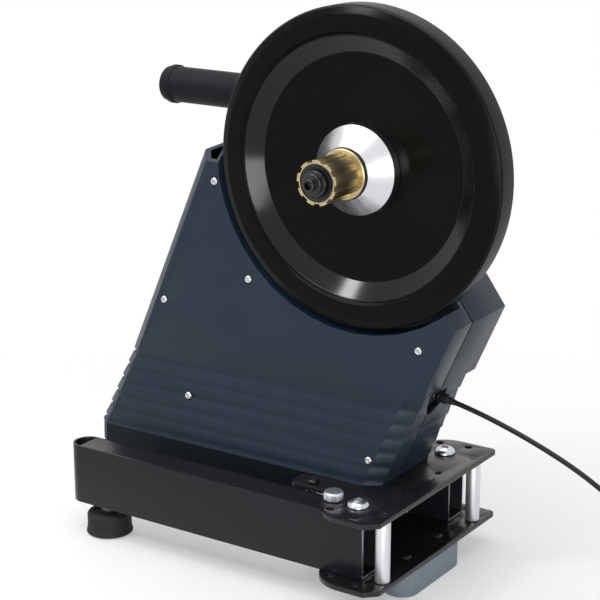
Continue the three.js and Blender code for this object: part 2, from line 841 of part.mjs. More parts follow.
function framePlate(y0, withWing) {
  const y1 = y0 + framePlateThickness;
  const foot = upperTopZ + seat;
  const plate = plateY(shapeOf(frameOutline(withWing)), y0, y1);
  const flange = block(frameFootBackX, frameFootFrontX, y0 - frameFlangeWidth, y1,
    foot, foot + framePlateThickness);
  const holes = [rod('y', 0, 0, axleRadius + seat, y0 - overrun, y1 + overrun)];
  const drill = (x, z, radius) => {
    holes.push(rod('y', x, z, radius, y0 - overrun, y1 + overrun, 16));
  };
  const boltHole = frameBoltRadius + screwClearance;
  for (const x of handleBoltXs) drill(x, handleZ, boltHole);
  holes.push(rod('z', footBoltX, y0 - footBoltInset, boltHole, foot - overrun,
    foot + framePlateThickness + overrun, 16));
  const pins = withWing ? guidePinPlaces().map(([x, z]) => (
    rod('y', x, z, guidePinRadius, guidePinFrontY, y0 + overrun, 16))) : [];
  if (withWing) drill(leadScrewX, leadScrewZ, leadScrewRadius + runningGap);
  return cut(join([plate, flange, ...pins]), holes);
}

addPiece('near_frame_plate', framePlate(nearPlateY, true), finishes.greySteel());
addPiece('far_frame_plate', framePlate(farPlateY, false), finishes.greySteel());

function crossBolt(x, z) {
  return panScrew('y', x, z, nearPlateY - seat, -1, frameBoltHeadRadius, frameBoltHeadHeight,
    frameBoltRadius, farPlateBackY + frameBoltTail - nearPlateY + seat);
}

addPiece('rear_handle_bolt', crossBolt(handleBoltXs[0], handleZ), finishes.zincSteel());
addPiece('front_handle_bolt', crossBolt(handleBoltXs[1], handleZ), finishes.zincSteel());

function footBolt(y) {
  const seatZ = upperTopZ + seat + framePlateThickness + seat;
  return panScrew('z', footBoltX, y, seatZ, 1, frameBoltHeadRadius, frameBoltHeadHeight,
    frameBoltRadius, seatZ - upperBottomZ + frameBoltTail);
}

addPiece('near_frame_bolt', footBolt(footBoltYs[0]), finishes.zincSteel());
addPiece('far_frame_bolt', footBolt(footBoltYs[1]), finishes.zincSteel());

// Flywheel and the hub that carries it
addPiece('flywheel', turned('y', 0, 0, [
  [hubConeRadius + seat, faceY], [bandInnerRadius, faceY], [bandOuterRadius, bandOuterY],
  [rimGrooveRadius, rimGrooveY], [rimCrownRadius, rimCrownY], [rimChamferRadius, rimFrontY],
  [flywheelRadius - edgeChamfer, 0], [flywheelRadius, edgeChamfer],
  [flywheelRadius, rimBackY - edgeChamfer], [flywheelRadius - edgeChamfer, rimBackY],
  [rimBackInnerRadius, rimBackY], [rimBackInnerRadius - rimBackStep, webBackY],
  [hubConeRadius + seat, webBackY], [hubConeRadius + seat, faceY],
], 44).subtract(flywheelBoltHoles(webBackY - flywheelBoltBite - seat, webBackY + overrun)),
finishes.glossBlack());

function flywheelBoltPlaces() {
  return Array.from({ length: flywheelBoltCount }, (_, i) => {
    const angle = 2 * Math.PI * i / flywheelBoltCount;
    return [flywheelBoltCircleRadius * Math.cos(angle), flywheelBoltCircleRadius * Math.sin(angle)];
  });
}

function flywheelBoltHoles(y0, y1) {
  return join(flywheelBoltPlaces().map(([x, z]) => (
    rod('y', x, z, flywheelBoltRadius + screwClearance, y0, y1, 12))));
}

function hubBody() {
  const bearingBore = hubBearingRadius + screwClearance;
  const hub = turned('y', 0, 0, [
    [bearingBore, hubBackY], [bearingBore, ratchetBackY], [ratchetTipRadius, ratchetBackY],
    [ratchetTipRadius, hubNoseY], [hubNoseRadius, hubNoseY], [hubWaistRadius, hubWaistY],
    [hubConeRadius, hubConeY], [hubConeRadius, flangeFrontY], [hubFlangeRadius, flangeFrontY],
    [hubFlangeRadius, flangeBackY], [hubBarrelRadius, flangeBackY], [hubBarrelRadius, hubBackY],
    [bearingBore, hubBackY],
  ], 24);
  return cut(hub, [
    ratchetTeethCutter(), flywheelBoltHoles(flangeFrontY - overrun, flangeBackY + overrun),
  ]);
}

// Saw teeth inside the hub's nose, which the pawls drive
function ratchetTeethCutter() {
  const points = [];
  const step = 2 * Math.PI / ratchetTeeth;
  for (let i = 0; i < ratchetTeeth; i += 1) {
    for (const radius of [ratchetTipRadius - seat, ratchetRootRadius]) {
      points.push([radius * Math.cos(i * step), radius * Math.sin(i * step)]);
    }
  }
  return plateY(shapeOf(points), hubNoseY - overrun, ratchetBackY);
}

addPiece('flywheel_hub', hubBody(), finishes.turnedAluminium());
flywheelBoltPlaces().forEach(([x, z], i) => {
  addPiece(`flywheel_bolt_${i + 1}`, panScrew('y', x, z, flangeBackY + seat, 1,
    flywheelBoltHeadRadius, flywheelBoltHeadHeight, flywheelBoltRadius,
    seat + hubFlangeThickness + seat + flywheelBoltBite), finishes.zincSteel());
});

// Axle. Its collar stands between the hub and the near frame plate
addPiece('axle', turned('y', 0, 0, [
  [axleBoreRadius, axleNearY], [axleEndRadius, axleNearY],
  [axleEndRadius, capBackY + seat], [axleRadius, capBackY + seat],
  [axleRadius, collarFrontY], [collarRadius, collarFrontY],
  [collarRadius, nearPlateY - seat], [axleRadius, nearPlateY - seat],
  [axleRadius, farPlateBackY], [axleEndRadius, farPlateBackY],
  [axleEndRadius, axleFarY], [axleBoreRadius, axleFarY],
  [axleBoreRadius, axleNearY],
], 16), finishes.zincSteel());

addPiece('near_end_cap', turned('y', 0, 0, [
  [axleBoreRadius, nearTipY], [capTipRadius, nearTipY], [capTipRadius, nearFaceY],
  [capFaceRadius, nearFaceY], [capFaceRadius, capStepY], [capRimRadius, capStepY],
  [capRimRadius, capBackY], [axleEndRadius + screwClearance, capBackY],
  [axleEndRadius + screwClearance, nearFaceY + capFloor],
  [axleBoreRadius, nearFaceY + capFloor], [axleBoreRadius, nearTipY],
], 14), finishes.blackEnamel());

// The far end cap clamps the far shell against the frame
addPiece('far_end_cap', turned('y', 0, 0, [
  [axleEndRadius + screwClearance, farPlateBackY + seat], [farCapNeckRadius, farPlateBackY + seat],
  [farCapNeckRadius, shellNeckDepth + seat], [farCapRadius, shellNeckDepth + seat],
  [farCapRadius, farFaceY], [capTipRadius, farFaceY], [capTipRadius, farTipY],
  [axleBoreRadius, farTipY], [axleBoreRadius, farFaceY - capFloor],
  [axleEndRadius + screwClearance, farFaceY - capFloor],
  [axleEndRadius + screwClearance, farPlateBackY + seat],
], 14), finishes.blackEnamel());

function bearing(radius, y, width) {
  return ring('y', 0, 0, radius, bearingInnerRadius, y, y + width, 16);
}

addPiece('near_hub_bearing', bearing(hubBearingRadius, hubBearingNearY, hubBearingWidth),
  finishes.zincSteel());
addPiece('far_hub_bearing', bearing(hubBearingRadius, hubBearingFarY, hubBearingWidth),
  finishes.zincSteel());
addPiece('near_freehub_bearing', bearing(freehubBearingRadius, freehubBearingNearY,
  freehubBearingWidth), finishes.zincSteel());
addPiece('far_freehub_bearing', bearing(freehubBearingRadius, freehubBearingFarY,
  freehubBearingWidth), finishes.zincSteel());

// Freehub with its two pawls
function splineShape() {
  const step = 2 * Math.PI / splineCount;
  const points = [];
  for (let i = 0; i < splineCount; i += 1) {
    const start = i * step;
    const stops = [[0, splineRadius], [splineShare / 2, splineRadius], [splineShare, splineRadius],
      [splineShare, splineRootRadius], [(1 + splineShare) / 2, splineRootRadius],
      [1, splineRootRadius]];
    for (const [share, radius] of stops) {
      const angle = start + share * step;
      points.push([radius * Math.cos(angle), radius * Math.sin(angle)]);
    }
  }
  return shapeOf(points);
}

function pawlSlot(index, gap) {
  const half = pawlWidth / 2 + gap;
  const y1 = neckEndY - pawlSeatGap + gap;
  const slot = block(pawlSeatRadius - gap, pawlTipRadius, y1 - pawlLength - 2 * gap, y1, -half, half);
  const round = rod('y', 0, 0, pawlTipRadius, y1 - pawlLength - overrun, y1 + overrun, 48);
  const geometry = geometryOf(slot.intersect(round));
  geometry.rotateY(2 * Math.PI * index / pawlCount);
  return solidOf(geometry);
}

function geometryOf(solid) {
  const mesh = solid.getMesh();
  const geometry = new THREE.BufferGeometry();
  geometry.setAttribute('position', new THREE.BufferAttribute(mesh.vertProperties, 3));
  geometry.setIndex(new THREE.BufferAttribute(mesh.triVerts, 1));
  return geometry;
}

function eachPawl(make) {
  return Array.from({ length: pawlCount }, (_, i) => make(i));
}

function freehubBody() {
  const bore = freehubBearingRadius + screwClearance;
  const splines = plateY(splineShape(), freehubFrontY, freehubFlangeY + seat);
  const flange = rod('y', 0, 0, freehubFlangeRadius, freehubFlangeY, freehubBackY, 24);
  const neck = rod('y', 0, 0, neckRadius, freehubFlangeY, neckEndY, 24);
  return cut(join([splines, flange, neck]), [
    rod('y', 0, 0, bore, freehubFrontY - overrun, freehubBearingFarY + freehubBearingWidth + seat, 24),
    rod('y', 0, 0, freehubBoreRadius, freehubFrontY, neckEndY + overrun, 20),
    ...eachPawl((i) => pawlSlot(i, screwClearance)),
  ]);
}

addPiece('freehub_body', freehubBody(), finishes.goldHub());
eachPawl((i) => addPiece(`pawl_${i + 1}`, pawlSlot(i, 0), finishes.greySteel()));
addPiece('hub_seal', ring('y', 0, 0, sealRadius, neckRadius + runningGap,
  freehubBackY + seat, hubNoseY - seat, 24), finishes.blackRubber());

// Handle: a steel tube clamped between the frame plates, with a rubber grip
function handleTube() {
  const tube = ring('x', handleY, handleZ, handleTubeRadius, handleTubeRadius - handleTubeWall,
    handleTubeBackX, handleTubeFrontX, 16);
  return cut(tube, handleBoltXs.map((x) => (
    rod('y', x, handleZ, frameBoltRadius + seat, nearPlateY, farPlateBackY, 12))));
}

function handleGrip() {
  const bore = handleTubeRadius + seat;
  return turned('x', handleY, handleZ, [
    [0, gripBackX], [gripRadius - gripEndBevel, gripBackX],
    [gripRadius, gripBackX + gripEndBevel],
    [gripRadius, gripRingBackX], [gripRingRadius, gripRingBackX],
    [gripRingRadius, gripRingBackX + gripRingWidth],
    [gripRadius, gripRingBackX + gripRingWidth],
    [gripRadius, gripFrontX - gripFrontRingWidth - edgeChamfer],
    [gripRadius + edgeChamfer, gripFrontX - gripFrontRingWidth],
    [gripRadius + edgeChamfer, gripFrontX], [bore, gripFrontX],
    [bore, gripBackX + gripBackWall], [0, gripBackX + gripBackWall],
  ], 20);
}

addPiece('handle_tube', handleTube(), finishes.blackEnamel());
addPiece('handle_grip', handleGrip(), finishes.gripRubber());

// Magnet brake: a carrier with magnets that a lead screw moves towards the flywheel
function sectorShape(inner, outer, mid, half) {
  const shape = new THREE.Shape();
  shape.absarc(0, 0, outer, mid - half, mid + half, false);
  shape.absarc(0, 0, inner, mid + half, mid - half, true);
  return shape;
}

function guidePinPlaces() {
  return guidePinAngles.map((angle) => (
    [guidePinCircleRadius * Math.cos(angle), guidePinCircleRadius * Math.sin(angle)]));
}

function magnetCarrier() {
  const y1 = carrierFrontY + carrierThickness;
  const shape = sectorShape(carrierInnerRadius, carrierOuterRadius, carrierMidAngle,
    carrierSpreadAngle);
  const plate = plateY(shape, carrierFrontY, y1, 8);
  return cut(plate, [
    rod('y', leadScrewX, leadScrewZ, leadScrewRadius + screwClearance, carrierFrontY - overrun,
      y1 + overrun, 16),
    ...guidePinPlaces().map(([x, z]) => rod('y', x, z, guidePinRadius + screwClearance,
      carrierFrontY - overrun, y1 + overrun, 16)),
  ]);
}

addPiece('magnet_carrier', magnetCarrier(), finishes.greySteel());
addPiece('brake_magnet', plateY(sectorShape(magnetCircleRadius - magnetHalfWidth,
  magnetCircleRadius + magnetHalfWidth, carrierMidAngle, magnetHalfAngle), magnetFrontY,
magnetFrontY + magnetThickness, 8), finishes.magnet());
addPiece('lead_screw', rod('y', leadScrewX, leadScrewZ, leadScrewRadius, guidePinFrontY,
  nearPlateBackY, 16), finishes.brass());
addPiece('brake_motor', join([
  rod('y', leadScrewX, leadScrewZ, motorRadius, nearPlateBackY + seat,
    nearPlateBackY + seat + motorLength, 20),
  rod('y', leadScrewX, leadScrewZ, motorBossRadius, nearPlateBackY + motorLength,
    nearPlateBackY + motorLength + overrun, 16),
]), finishes.greySteel());

// Shells. The body's left edge and front end lean, so both are worked out per height
function leftX(z) {
  return leftTopX - leftSlopeShare * (-z - leftTopDrop);
}

function endX(z) {
  return endTopX - endSlopeShare * (-z - ledgeDrop);
}

function flareAt(z) {
  const share = (-z - boardTopDrop) / (shellBottomDrop - boardTopDrop);
  return frontFlare * Math.max(0, share);
}

// One level of the lower body, drawn in by inset all round
function bodySection(z, inset) {
  const front = -flareAt(z) + inset;
  const back = shellDepth - inset;
  const left = leftX(z) + inset;
  const end = endX(z) - inset;
  return [
    [left + edgeFacetX, front, z], [end - bevelX, front, z], [end, front + bevelY, z],
    [end, back - bevelY, z], [end - bevelX, back, z], [left + edgeFacetX, back, z],
    [left, back - edgeFacetY, z], [left, front + edgeFacetY, z],
  ];
}

function bellySection(z, inset) {
  const share = (-z - shellBottomDrop) / (bellyDrop - shellBottomDrop);
  const front = bellyFrontTopY + (bellyFrontY - bellyFrontTopY) * share + inset;
  const back = bellyBackTopY + (bellyBackY - bellyBackTopY) * share - inset;
  const left = leftX(z) + inset;
  const right = bellyEndX - inset;
  return [
    [left + edgeFacetX, front, z], [right, front, z], [right, back, z],
    [left + edgeFacetX, back, z], [left, back - edgeFacetY, z], [left, front + edgeFacetY, z],
  ];
}

function upperOutline() {
  const bottom = -boardTopDrop;
  return [
    [leftX(bottom), bottom], [ledgeX - endSlopeShare * (boardTopDrop - ledgeDrop), bottom],
    [ledgeX, -ledgeDrop], [chinX, -chinDrop], [noseX, -noseDrop], [browX, -browFootDrop],
    [browX, browHeight], [crownX, crownHeight], [peakX, peakHeight], [leftTopX, -leftTopDrop],
  ];
}

// The rear face steps forward around the axle, so that a bike's dropout clears it
function depthProfile(inset) {
  const front = -frontFlare - overrun;
  const top = crownHeight + overrun;
  return shapeOf([
    [front, -boardTopDrop - overrun], [shellDepth - inset, -boardTopDrop - overrun],
    [shellDepth - inset, -shellShoulderDrop], [shellNeckDepth - inset, -shellNeckDrop],
    [shellNeckDepth - inset, top], [front, top],
  ]);
}

// Cutter for the facet along the left edge, at y and turned by dir
function edgeFacetCutter(y, dir) {
  const reach = overrun * edgeFacetX / edgeFacetY;
  const level = (z) => {
    const left = leftX(z);
    return [
      [left + edgeFacetX + reach, y - dir * overrun, z],
      [left - reach, y + dir * (edgeFacetY + overrun), z],
      [left - reach, y - dir * overrun, z],
    ];
  };
  return loft(level(-boardTopDrop - overrun), level(crownHeight));
}

function topFacetCutter() {
  const line = (y) => -facetTopDrop + facetSlopeShare * y;
  const shape = shapeOf([
    [-overrun, line(-overrun)], [facetReachY, line(facetReachY)],
    [facetReachY, crownHeight], [-overrun, crownHeight],
  ]);
  return plateX(shape, leftTopX - edgeFacetX, -wellRadius + edgeFacetX);
}

function boardStack() {
  const boards = [loft(bodySection(-boardTopDrop, 0), bodySection(-ledgeDrop + ledgeRise(), 0))];
  for (let i = 0; i < boardCount; i += 1) {
    const top = -boardTopDrop - i * boardPitch;
    const bottom = Math.max(top - boardPitch, -shellBottomDrop);
    boards.push(loft(bodySection(bottom, 0), bodySection(top, boardLip)));
  }
  return join(boards);
}

// Height of the sloping ledge above its front corner, where the end wall meets it
function ledgeRise() {
  return (endTopX - ledgeX) * (ledgeDrop - chinDrop) / (chinX - ledgeX);
}

function upperBody() {
  const prism = plateY(shapeOf(upperOutline()), 0, shellDepth);
  const stepped = prism.intersect(plateX(depthProfile(0), leftX(-boardTopDrop) - overrun,
    noseX + overrun));
  return cut(stepped, [edgeFacetCutter(0, 1), edgeFacetCutter(shellDepth, -1), topFacetCutter()]);
}

function outerBody() {
  const belly = loft(bellySection(-bellyDrop, 0), bellySection(-shellBottomDrop + boardLip, 0));
  return join([upperBody(), boardStack(), belly]);
}

function innerBody() {
  const wall = shellWall + boardLip;
  const outline = insetOutline(upperOutline(), shellWall);
  const upper = plateY(shapeOf(outline), shellWall, shellDepth - shellWall)
    .intersect(plateX(depthProfile(shellWall), leftX(-boardTopDrop), noseX));
  const facets = [edgeFacetCutter(shellWall, 1), edgeFacetCutter(shellDepth - shellWall, -1)]
    .map((cutter) => solidOf(geometryOf(cutter).translate(shellWall, 0, 0)));
  const lower = loft(bodySection(-shellBottomDrop - overrun, wall),
    bodySection(-ledgeDrop - shellWall, wall));
  const belly = loft(bellySection(-bellyDrop + shellWall, shellWall),
    bellySection(-shellBottomDrop + overrun, shellWall));
  return join([cut(upper, facets), lower, belly]);
}

function recessCutter() {
  const shape = shapeOf([
    [recessNearY, -recessTopDrop], [recessFarY, -recessTopDrop],
    [recessFarY, -recessRightDrop], [seamY, -recessBottomDrop],
  ]);
  return plateX(shape, plugX - overrun, chinX + overrun);
}

function screwBosses(y0, y1) {
  return join(shellScrewPlaces.map(([x, z]) => (
    rod('y', x, z, shellBossRadius, y0, y1, 8))));
}

function nearShell(body, hollow) {
  const wide = 2 * noseX - leftTopX + bellyDrop;
  const front = block(-wide, wide, -wide, seamY - seat / 2, -wide, wide);
  const well = rod('y', 0, 0, wellRadius, -frontFlare - overrun, wellFloorY, 40);
  const wellBack = rod('y', 0, 0, wellRadius + shellWall, -frontFlare - overrun,
    wellFloorY + shellWall, 40);
  const cavity = hollow.subtract(wellBack);
  const bosses = screwBosses(-frontFlare, seamY - seat / 2)
    .intersect(body);
  const window = plateY(sectorShape(magnetCircleRadius - magnetHalfWidth - windowMargin,
    magnetCircleRadius + magnetHalfWidth + windowMargin, carrierMidAngle,
    magnetHalfAngle + windowMargin / magnetCircleRadius),
  wellFloorY - overrun, wellFloorY + shellWall + overrun, 12);
  const pockets = shellScrewPlaces.flatMap(([x, z]) => [
    rod('y', x, z, shellScrewPocketRadius, -frontFlare - overrun,
      screwSeatY(z), 12),
    rod('y', x, z, shellScrewRadius + screwClearance, -frontFlare, seamY, 8),
  ]);
  return cut(cut(body.intersect(front), [cavity, well]).add(bosses), [
    ...pockets, window, recessCutter(), trayRoom(),
    rod('y', 0, 0, hubHoleRadius, wellFloorY - overrun, wellFloorY + shellWall + overrun, 24),
  ]);
}

function screwSeatY(z) {
  return shellScrewPocketDepth - flareAt(z);
}

function boardCorners() {
  const dx = boardLength / 2 - boardScrewInset;
  const dz = boardHeight / 2 - boardScrewInset;
  return [[-dx, -dz], [-dx, dz], [dx, -dz], [dx, dz]].map(([x, z]) => [boardX + x, boardZ + z]);
}

// A board post ends in a peg with a snap head that holds the board
function boardPost(x, z) {
  const shoulder = boardY + boardThickness + seat;
  return turned('y', x, z, [
    [0, boardY - seat - boardPegHeadHeight], [boardPegHeadRadius, boardY - seat - boardPegHeadHeight],
    [boardPegHeadRadius, boardY - seat], [boardPegRadius, boardY - seat],
    [boardPegRadius, shoulder], [boardPostRadius, shoulder],
    [boardPostRadius, shellDepth - shellWall / 2], [0, shellDepth - shellWall / 2],
  ], 8);
}

function farShell(body, hollow) {
  const wide = 2 * noseX - leftTopX + bellyDrop;
  const rear = block(-wide, wide, seamY + seat / 2, wide, -wide, wide);
  const bosses = screwBosses(seamY + seat / 2, shellDepth)
    .intersect(body);
  const posts = join(boardCorners().map(([x, z]) => (
    boardPost(x, z))));
  const seats = join(frameSeatPlaces.map(([x, z]) => (
    rod('y', x, z, shellBossRadius, farPlateBackY + seat, shellNeckDepth, 8))));
  const walls = body.intersect(rear).subtract(hollow);
  const capSeat = rod('y', 0, 0, farCapRadius, farPlateBackY + seat, shellNeckDepth, 20);
  const screwHoles = shellScrewPlaces.map(([x, z]) => (
    rod('y', x, z, shellScrewRadius + screwClearance, seamY, seamY + shellScrewLength / 2, 8)));
  const patched = join([walls, cut(bosses, screwHoles), posts, seats, capSeat]);
  return cut(patched, [
    recessCutter(), trayRoom(), rod('y', 0, 0, farCapNeckRadius + seat, farPlateBackY,
      shellDepth + overrun, 16),
    rod('x', handleY, handleZ, handleTubeRadius + slipGap, leftTopX, frameHeadBackX, 24),
  ]);
}

const bodySolid = outerBody();
const hollowSolid = innerBody();
addPiece('near_shell', nearShell(bodySolid, hollowSolid), finishes.navyShell());
addPiece('far_shell', farShell(bodySolid, hollowSolid), finishes.navyShell());

shellScrewPlaces.forEach(([x, z], i) => {
  addPiece(`shell_screw_${i + 1}`, panScrew('y', x, z, screwSeatY(z) - seat, -1,
    shellScrewHeadRadius, shellScrewHeadHeight, shellScrewRadius, shellScrewLength),
  finishes.zincSteel());
});

// Control board on four posts of the far shell
function controlBoard() {
  const sheet = block(boardX - boardLength / 2, boardX + boardLength / 2, boardY,
    boardY + boardThickness, boardZ - boardHeight / 2, boardZ + boardHeight / 2);
  const chips = chipBlocks.map(([x, z, width, height, depth]) => (
    block(boardX + x - width / 2, boardX + x + width / 2, boardY - depth,
      boardY + boardThickness / 2, boardZ + z - height / 2, boardZ + z + height / 2)));
  const holes = boardCorners().map(([x, z]) => (
    rod('y', x, z, boardPegRadius + screwClearance, boardY - overrun,
      boardY + boardThickness + overrun, 8)));
  return cut(join([sheet, ...chips]), holes);
}

addPiece('control_board', controlBoard(), finishes.boardGreen());
// Connector tray behind the recess in the front end wall
function trayLine(drop) {
  return plugX + Math.tan(plugTilt) * (-drop - plugZ);
}

function trayOutline(grow) {
  const lip = (z) => endX(z) - shellWall - boardLip - seat + grow;
  const back = (drop) => trayLine(drop) - trayWall - grow;
  const top = trayTopDrop - grow;
  const bottom = trayBottomDrop + grow;
  return shapeOf([[back(top), -top], [lip(-top), -top], [lip(-bottom), -bottom],
    [back(bottom), -bottom]]);
}

function connectorTray() {
  const top = trayTopDrop + trayWall;
  const bottom = trayBottomDrop - trayWall;
  const pocket = shapeOf([
    [trayLine(top), -top], [noseX, -top], [noseX, -bottom], [trayLine(bottom), -bottom],
  ]);
  const socketPlace = (geometry) => atPlug(geometry.translate(0, -sensorJackSpacing,
    -sensorJackDrop));
  const face = [-trayDrillReach, trayDrillReach, 16];
  return cut(plateY(trayOutline(0), trayNearY, trayFarY), [
    plateY(pocket, trayNearY + trayWall, trayFarY - trayWall),
    atPlug(rodGeometry(jackRadius + screwClearance, ...face)),
    socketPlace(rodGeometry((sensorJackRadius + sensorJackBoreRadius) / 2, ...face)),
  ]).add(socketPlace(turnedGeometry(
    jackProfile(sensorJackRadius, sensorJackBoreRadius, sensorJackFrontX), 16)));
}

// Space that both shells leave for the tray and the back of the power jack
function trayRoom() {
  return join([
    plateY(trayOutline(seat), trayNearY - seat, trayFarY + seat),
    atPlug(rodGeometry(jackRadius + slipGap, jackBackX - seat, trayWall, 12)),
    atPlug(rodGeometry(sensorJackRadius + slipGap, jackBackX - seat, trayWall, 12)
      .translate(0, -sensorJackSpacing, -sensorJackDrop)),
  ]);
}

// Connector pieces lie along X from the tray's face, then tilt with it
function rodGeometry(radius, from, to, segments) {
  const geometry = new THREE.CylinderGeometry(radius, radius, to - from, segments);
  return geometry.rotateZ(-Math.PI / 2).translate((from + to) / 2, 0, 0);
}

function turnedGeometry(profile, segments) {
  const points = profile.map(([radius, along]) => new THREE.Vector2(radius, along));
  return new THREE.LatheGeometry(points, segments).rotateZ(-Math.PI / 2);
}

function atPlug(geometry) {
  return solidOf(geometry.rotateY(plugTilt).translate(plugX, plugY, plugZ));
}

function jackProfile(outer, bore, front) {
  return [[0, jackBackX], [outer, jackBackX], [outer, front], [bore, front],
    [bore, jackBackX + jackWall], [0, jackBackX + jackWall]];
}

addPiece('connector_tray', connectorTray(), finishes.blackPlastic());
addPiece('power_jack', atPlug(turnedGeometry(
  jackProfile(jackRadius, jackBoreRadius, jackFrontX), 16)), finishes.blackPlastic());

const plugBackX = jackFrontX + seat;
const reliefFrontX = plugBodyFrontX + reliefLength;
addPiece('power_plug', atPlug(turnedGeometry([
  [0, plugBackX - plugPinLength], [plugPinRadius, plugBackX - plugPinLength],
  [plugPinRadius, plugBackX], [plugBodyRadius, plugBackX], [plugBodyRadius, plugBodyFrontX],
  [reliefRadius, plugBodyFrontX], [leadRadius, reliefFrontX], [0, reliefFrontX],
], 16)), finishes.blackPlastic());

// Power lead. It leaves the plug, falls to the floor and runs on to the coil
const leadFloorZ = floorZ + leadRadius;
const coilOuterRadius = coilInnerRadius + coilPitch * coilTurns / 2;
const coilY = plugY + coilOuterRadius;
const leadStart = new THREE.Vector3(reliefFrontX + seat, 0, 0)
  .applyAxisAngle(new THREE.Vector3(0, 1, 0), plugTilt)
  .add(new THREE.Vector3(plugX, plugY, plugZ));
const leadDirection = new THREE.Vector3(Math.cos(plugTilt), 0, -Math.sin(plugTilt));
const leadRoute = leadPlaces.map(([x, z]) => new THREE.Vector3(x, plugY, z));

// A tube's rings are set square to its route, turned level so that they never twist
function tube(points, segments, radius) {
  const up = new THREE.Vector3(0, 0, 1);
  const positions = [];
  points.forEach((point, i) => {
    const before = points[Math.max(0, i - 1)];
    const after = points[Math.min(points.length - 1, i + 1)];
    const along = after.clone().sub(before).normalize();
    const side = along.clone().cross(up).normalize();
    const rise = side.clone().cross(along);
    for (let k = 0; k < segments; k += 1) {
      const angle = 2 * Math.PI * (k + 0.5) / segments;
      const corner = point.clone().addScaledVector(side, radius * Math.cos(angle))
        .addScaledVector(rise, radius * Math.sin(angle));
      positions.push(corner.x, corner.y, corner.z);
    }
  });
  const indices = [];
  for (let i = 0; i + 1 < points.length; i += 1) {
    for (let k = 0; k < segments; k += 1) {
      const a = i * segments + k;
      const b = i * segments + (k + 1) % segments;
      indices.push(a, b, b + segments, a, b + segments, a + segments);
    }
  }
  const last = (points.length - 1) * segments;
  for (let k = 1; k + 1 < segments; k += 1) {
    indices.push(0, k + 1, k, last, last + k, last + k + 1);
  }
  const geometry = new THREE.BufferGeometry();
  geometry.setAttribute('position', new THREE.BufferAttribute(new Float32Array(positions), 3));
  geometry.setIndex(indices);
  return solidOf(geometry);
}

function smoothRoute(points) {
  const curve = new THREE.CatmullRomCurve3(points, false, 'centripetal');
  const steps = Math.round(curve.getLength() / leadStepLength);
  return curve.getSpacedPoints(steps);
}

const straightRun = 2 * leadRadius;
const coilStart = new THREE.Vector3(coilX - straightRun, plugY, leadFloorZ);
const leadPoints = smoothRoute([
  leadStart, leadStart.clone().addScaledVector(leadDirection, straightRun),
  ...leadRoute, coilStart.clone().add(new THREE.Vector3(-seat - straightRun, 0, 0)),
  coilStart.clone().add(new THREE.Vector3(-seat, 0, 0)),
]);
addPiece('power_lead', tube(leadPoints, leadSides, leadRadius), finishes.blackRubber());

// The coil spirals in on the floor, climbs, and spirals out again on top
function coilPoint(turn) {
  const angle = -Math.PI / 2 + 2 * Math.PI * turn;
  const middle = coilTurns / 2;
  const radius = coilInnerRadius + coilPitch * Math.abs(turn - middle);
  const climb = THREE.MathUtils.clamp((turn - middle) * 2 + 0.5, 0, 1);
  return new THREE.Vector3(coilX + radius * Math.cos(angle), coilY + radius * Math.sin(angle),
    leadFloorZ + coilLayerRise * climb);
}

function coilRoute() {
  const points = [coilStart];
  const steps = coilStepsPerTurn * coilTurns;
  for (let i = 0; i <= steps; i += 1) points.push(coilPoint(i / coilStepsPerTurn));
  points.push(coilPoint(coilTurns).add(new THREE.Vector3(-coilEndRun, 0, 0)));
  return points;
}

// Least distance between turns, measured on points at least half a turn apart
function leastSelfGap(points) {
  const apart = coilStepsPerTurn / 2;
  let least = Infinity;
  for (let i = 0; i < points.length; i += 1) {
    for (let k = i + apart; k + 1 < points.length; k += 1) {
      const line = new THREE.Line3(points[k], points[k + 1]);
      const nearest = line.closestPointToPoint(points[i], true, new THREE.Vector3());
      least = Math.min(least, nearest.distanceTo(points[i]));
    }
  }
  return least - 2 * leadRadius;
}

const coilPoints = coilRoute();
console.log(`least gap of the coil to itself: ${leastSelfGap(coilPoints).toFixed(2)} mm`);
addPiece('lead_coil', tube(coilPoints, coilSides, leadRadius), finishes.blackRubber());

function routeLength(points) {
  return points.reduce((sum, point, i) => (
    i ? sum + point.distanceTo(points[i - 1]) : 0), 0);
}

const leadLength = [leadPoints, coilPoints].reduce((sum, points) => (
  sum + routeLength(points)), 0);
console.log(`power lead length: ${leadLength.toFixed(0)} mm`);

// Wall adapter with its moulded relief and two flat blades, beside the coil's end
function adapter() {
  const end = coilPoints[coilPoints.length - 1];
  const x2 = end.x - seat;
  const x1 = x2 - adapterReliefLength;
  const x0 = x1 - adapterLength;
  const half = adapterWidth / 2;
  const c = adapterCorner;
  const shape = shapeOf([
    [x0 + c, end.y - half], [x1 - c, end.y - half], [x1, end.y - half + c],
    [x1, end.y + half - c], [x1 - c, end.y + half], [x0 + c, end.y + half],
    [x0, end.y + half - c], [x0, end.y - half + c],
  ]);
  const relief = turned('x', end.y, end.z, [
    [0, x1 - adapterCorner], [adapterReliefRadius, x1 - adapterCorner], [adapterReliefRadius, x1],
    [leadRadius, x2], [0, x2],
  ], 16);
  const top = floorZ + adapterHeight;
  const middle = (x0 + x1) / 2;
  const blades = [-1, 1].map((side) => block(middle - bladeHeight / 2, middle + bladeHeight / 2,
    end.y + side * bladeHalfSpan - bladeThickness / 2,
    end.y + side * bladeHalfSpan + bladeThickness / 2, top - overrun, top + bladeLength));
  return join([plateZ(shape, floorZ, top), relief, ...blades]);
}

addPiece('power_adapter', adapter(), finishes.blackPlastic());

// The origin is the middle of the object's footprint, on the floor
const backX = leftX(-bellyDrop);
assembly.position.set(-(flywheelRadius + backX) / 2, -baseMidY, axleHeight);

export default assembly;
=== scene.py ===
import bpy
import bmesh
import math
from mathutils import Matrix, Vector


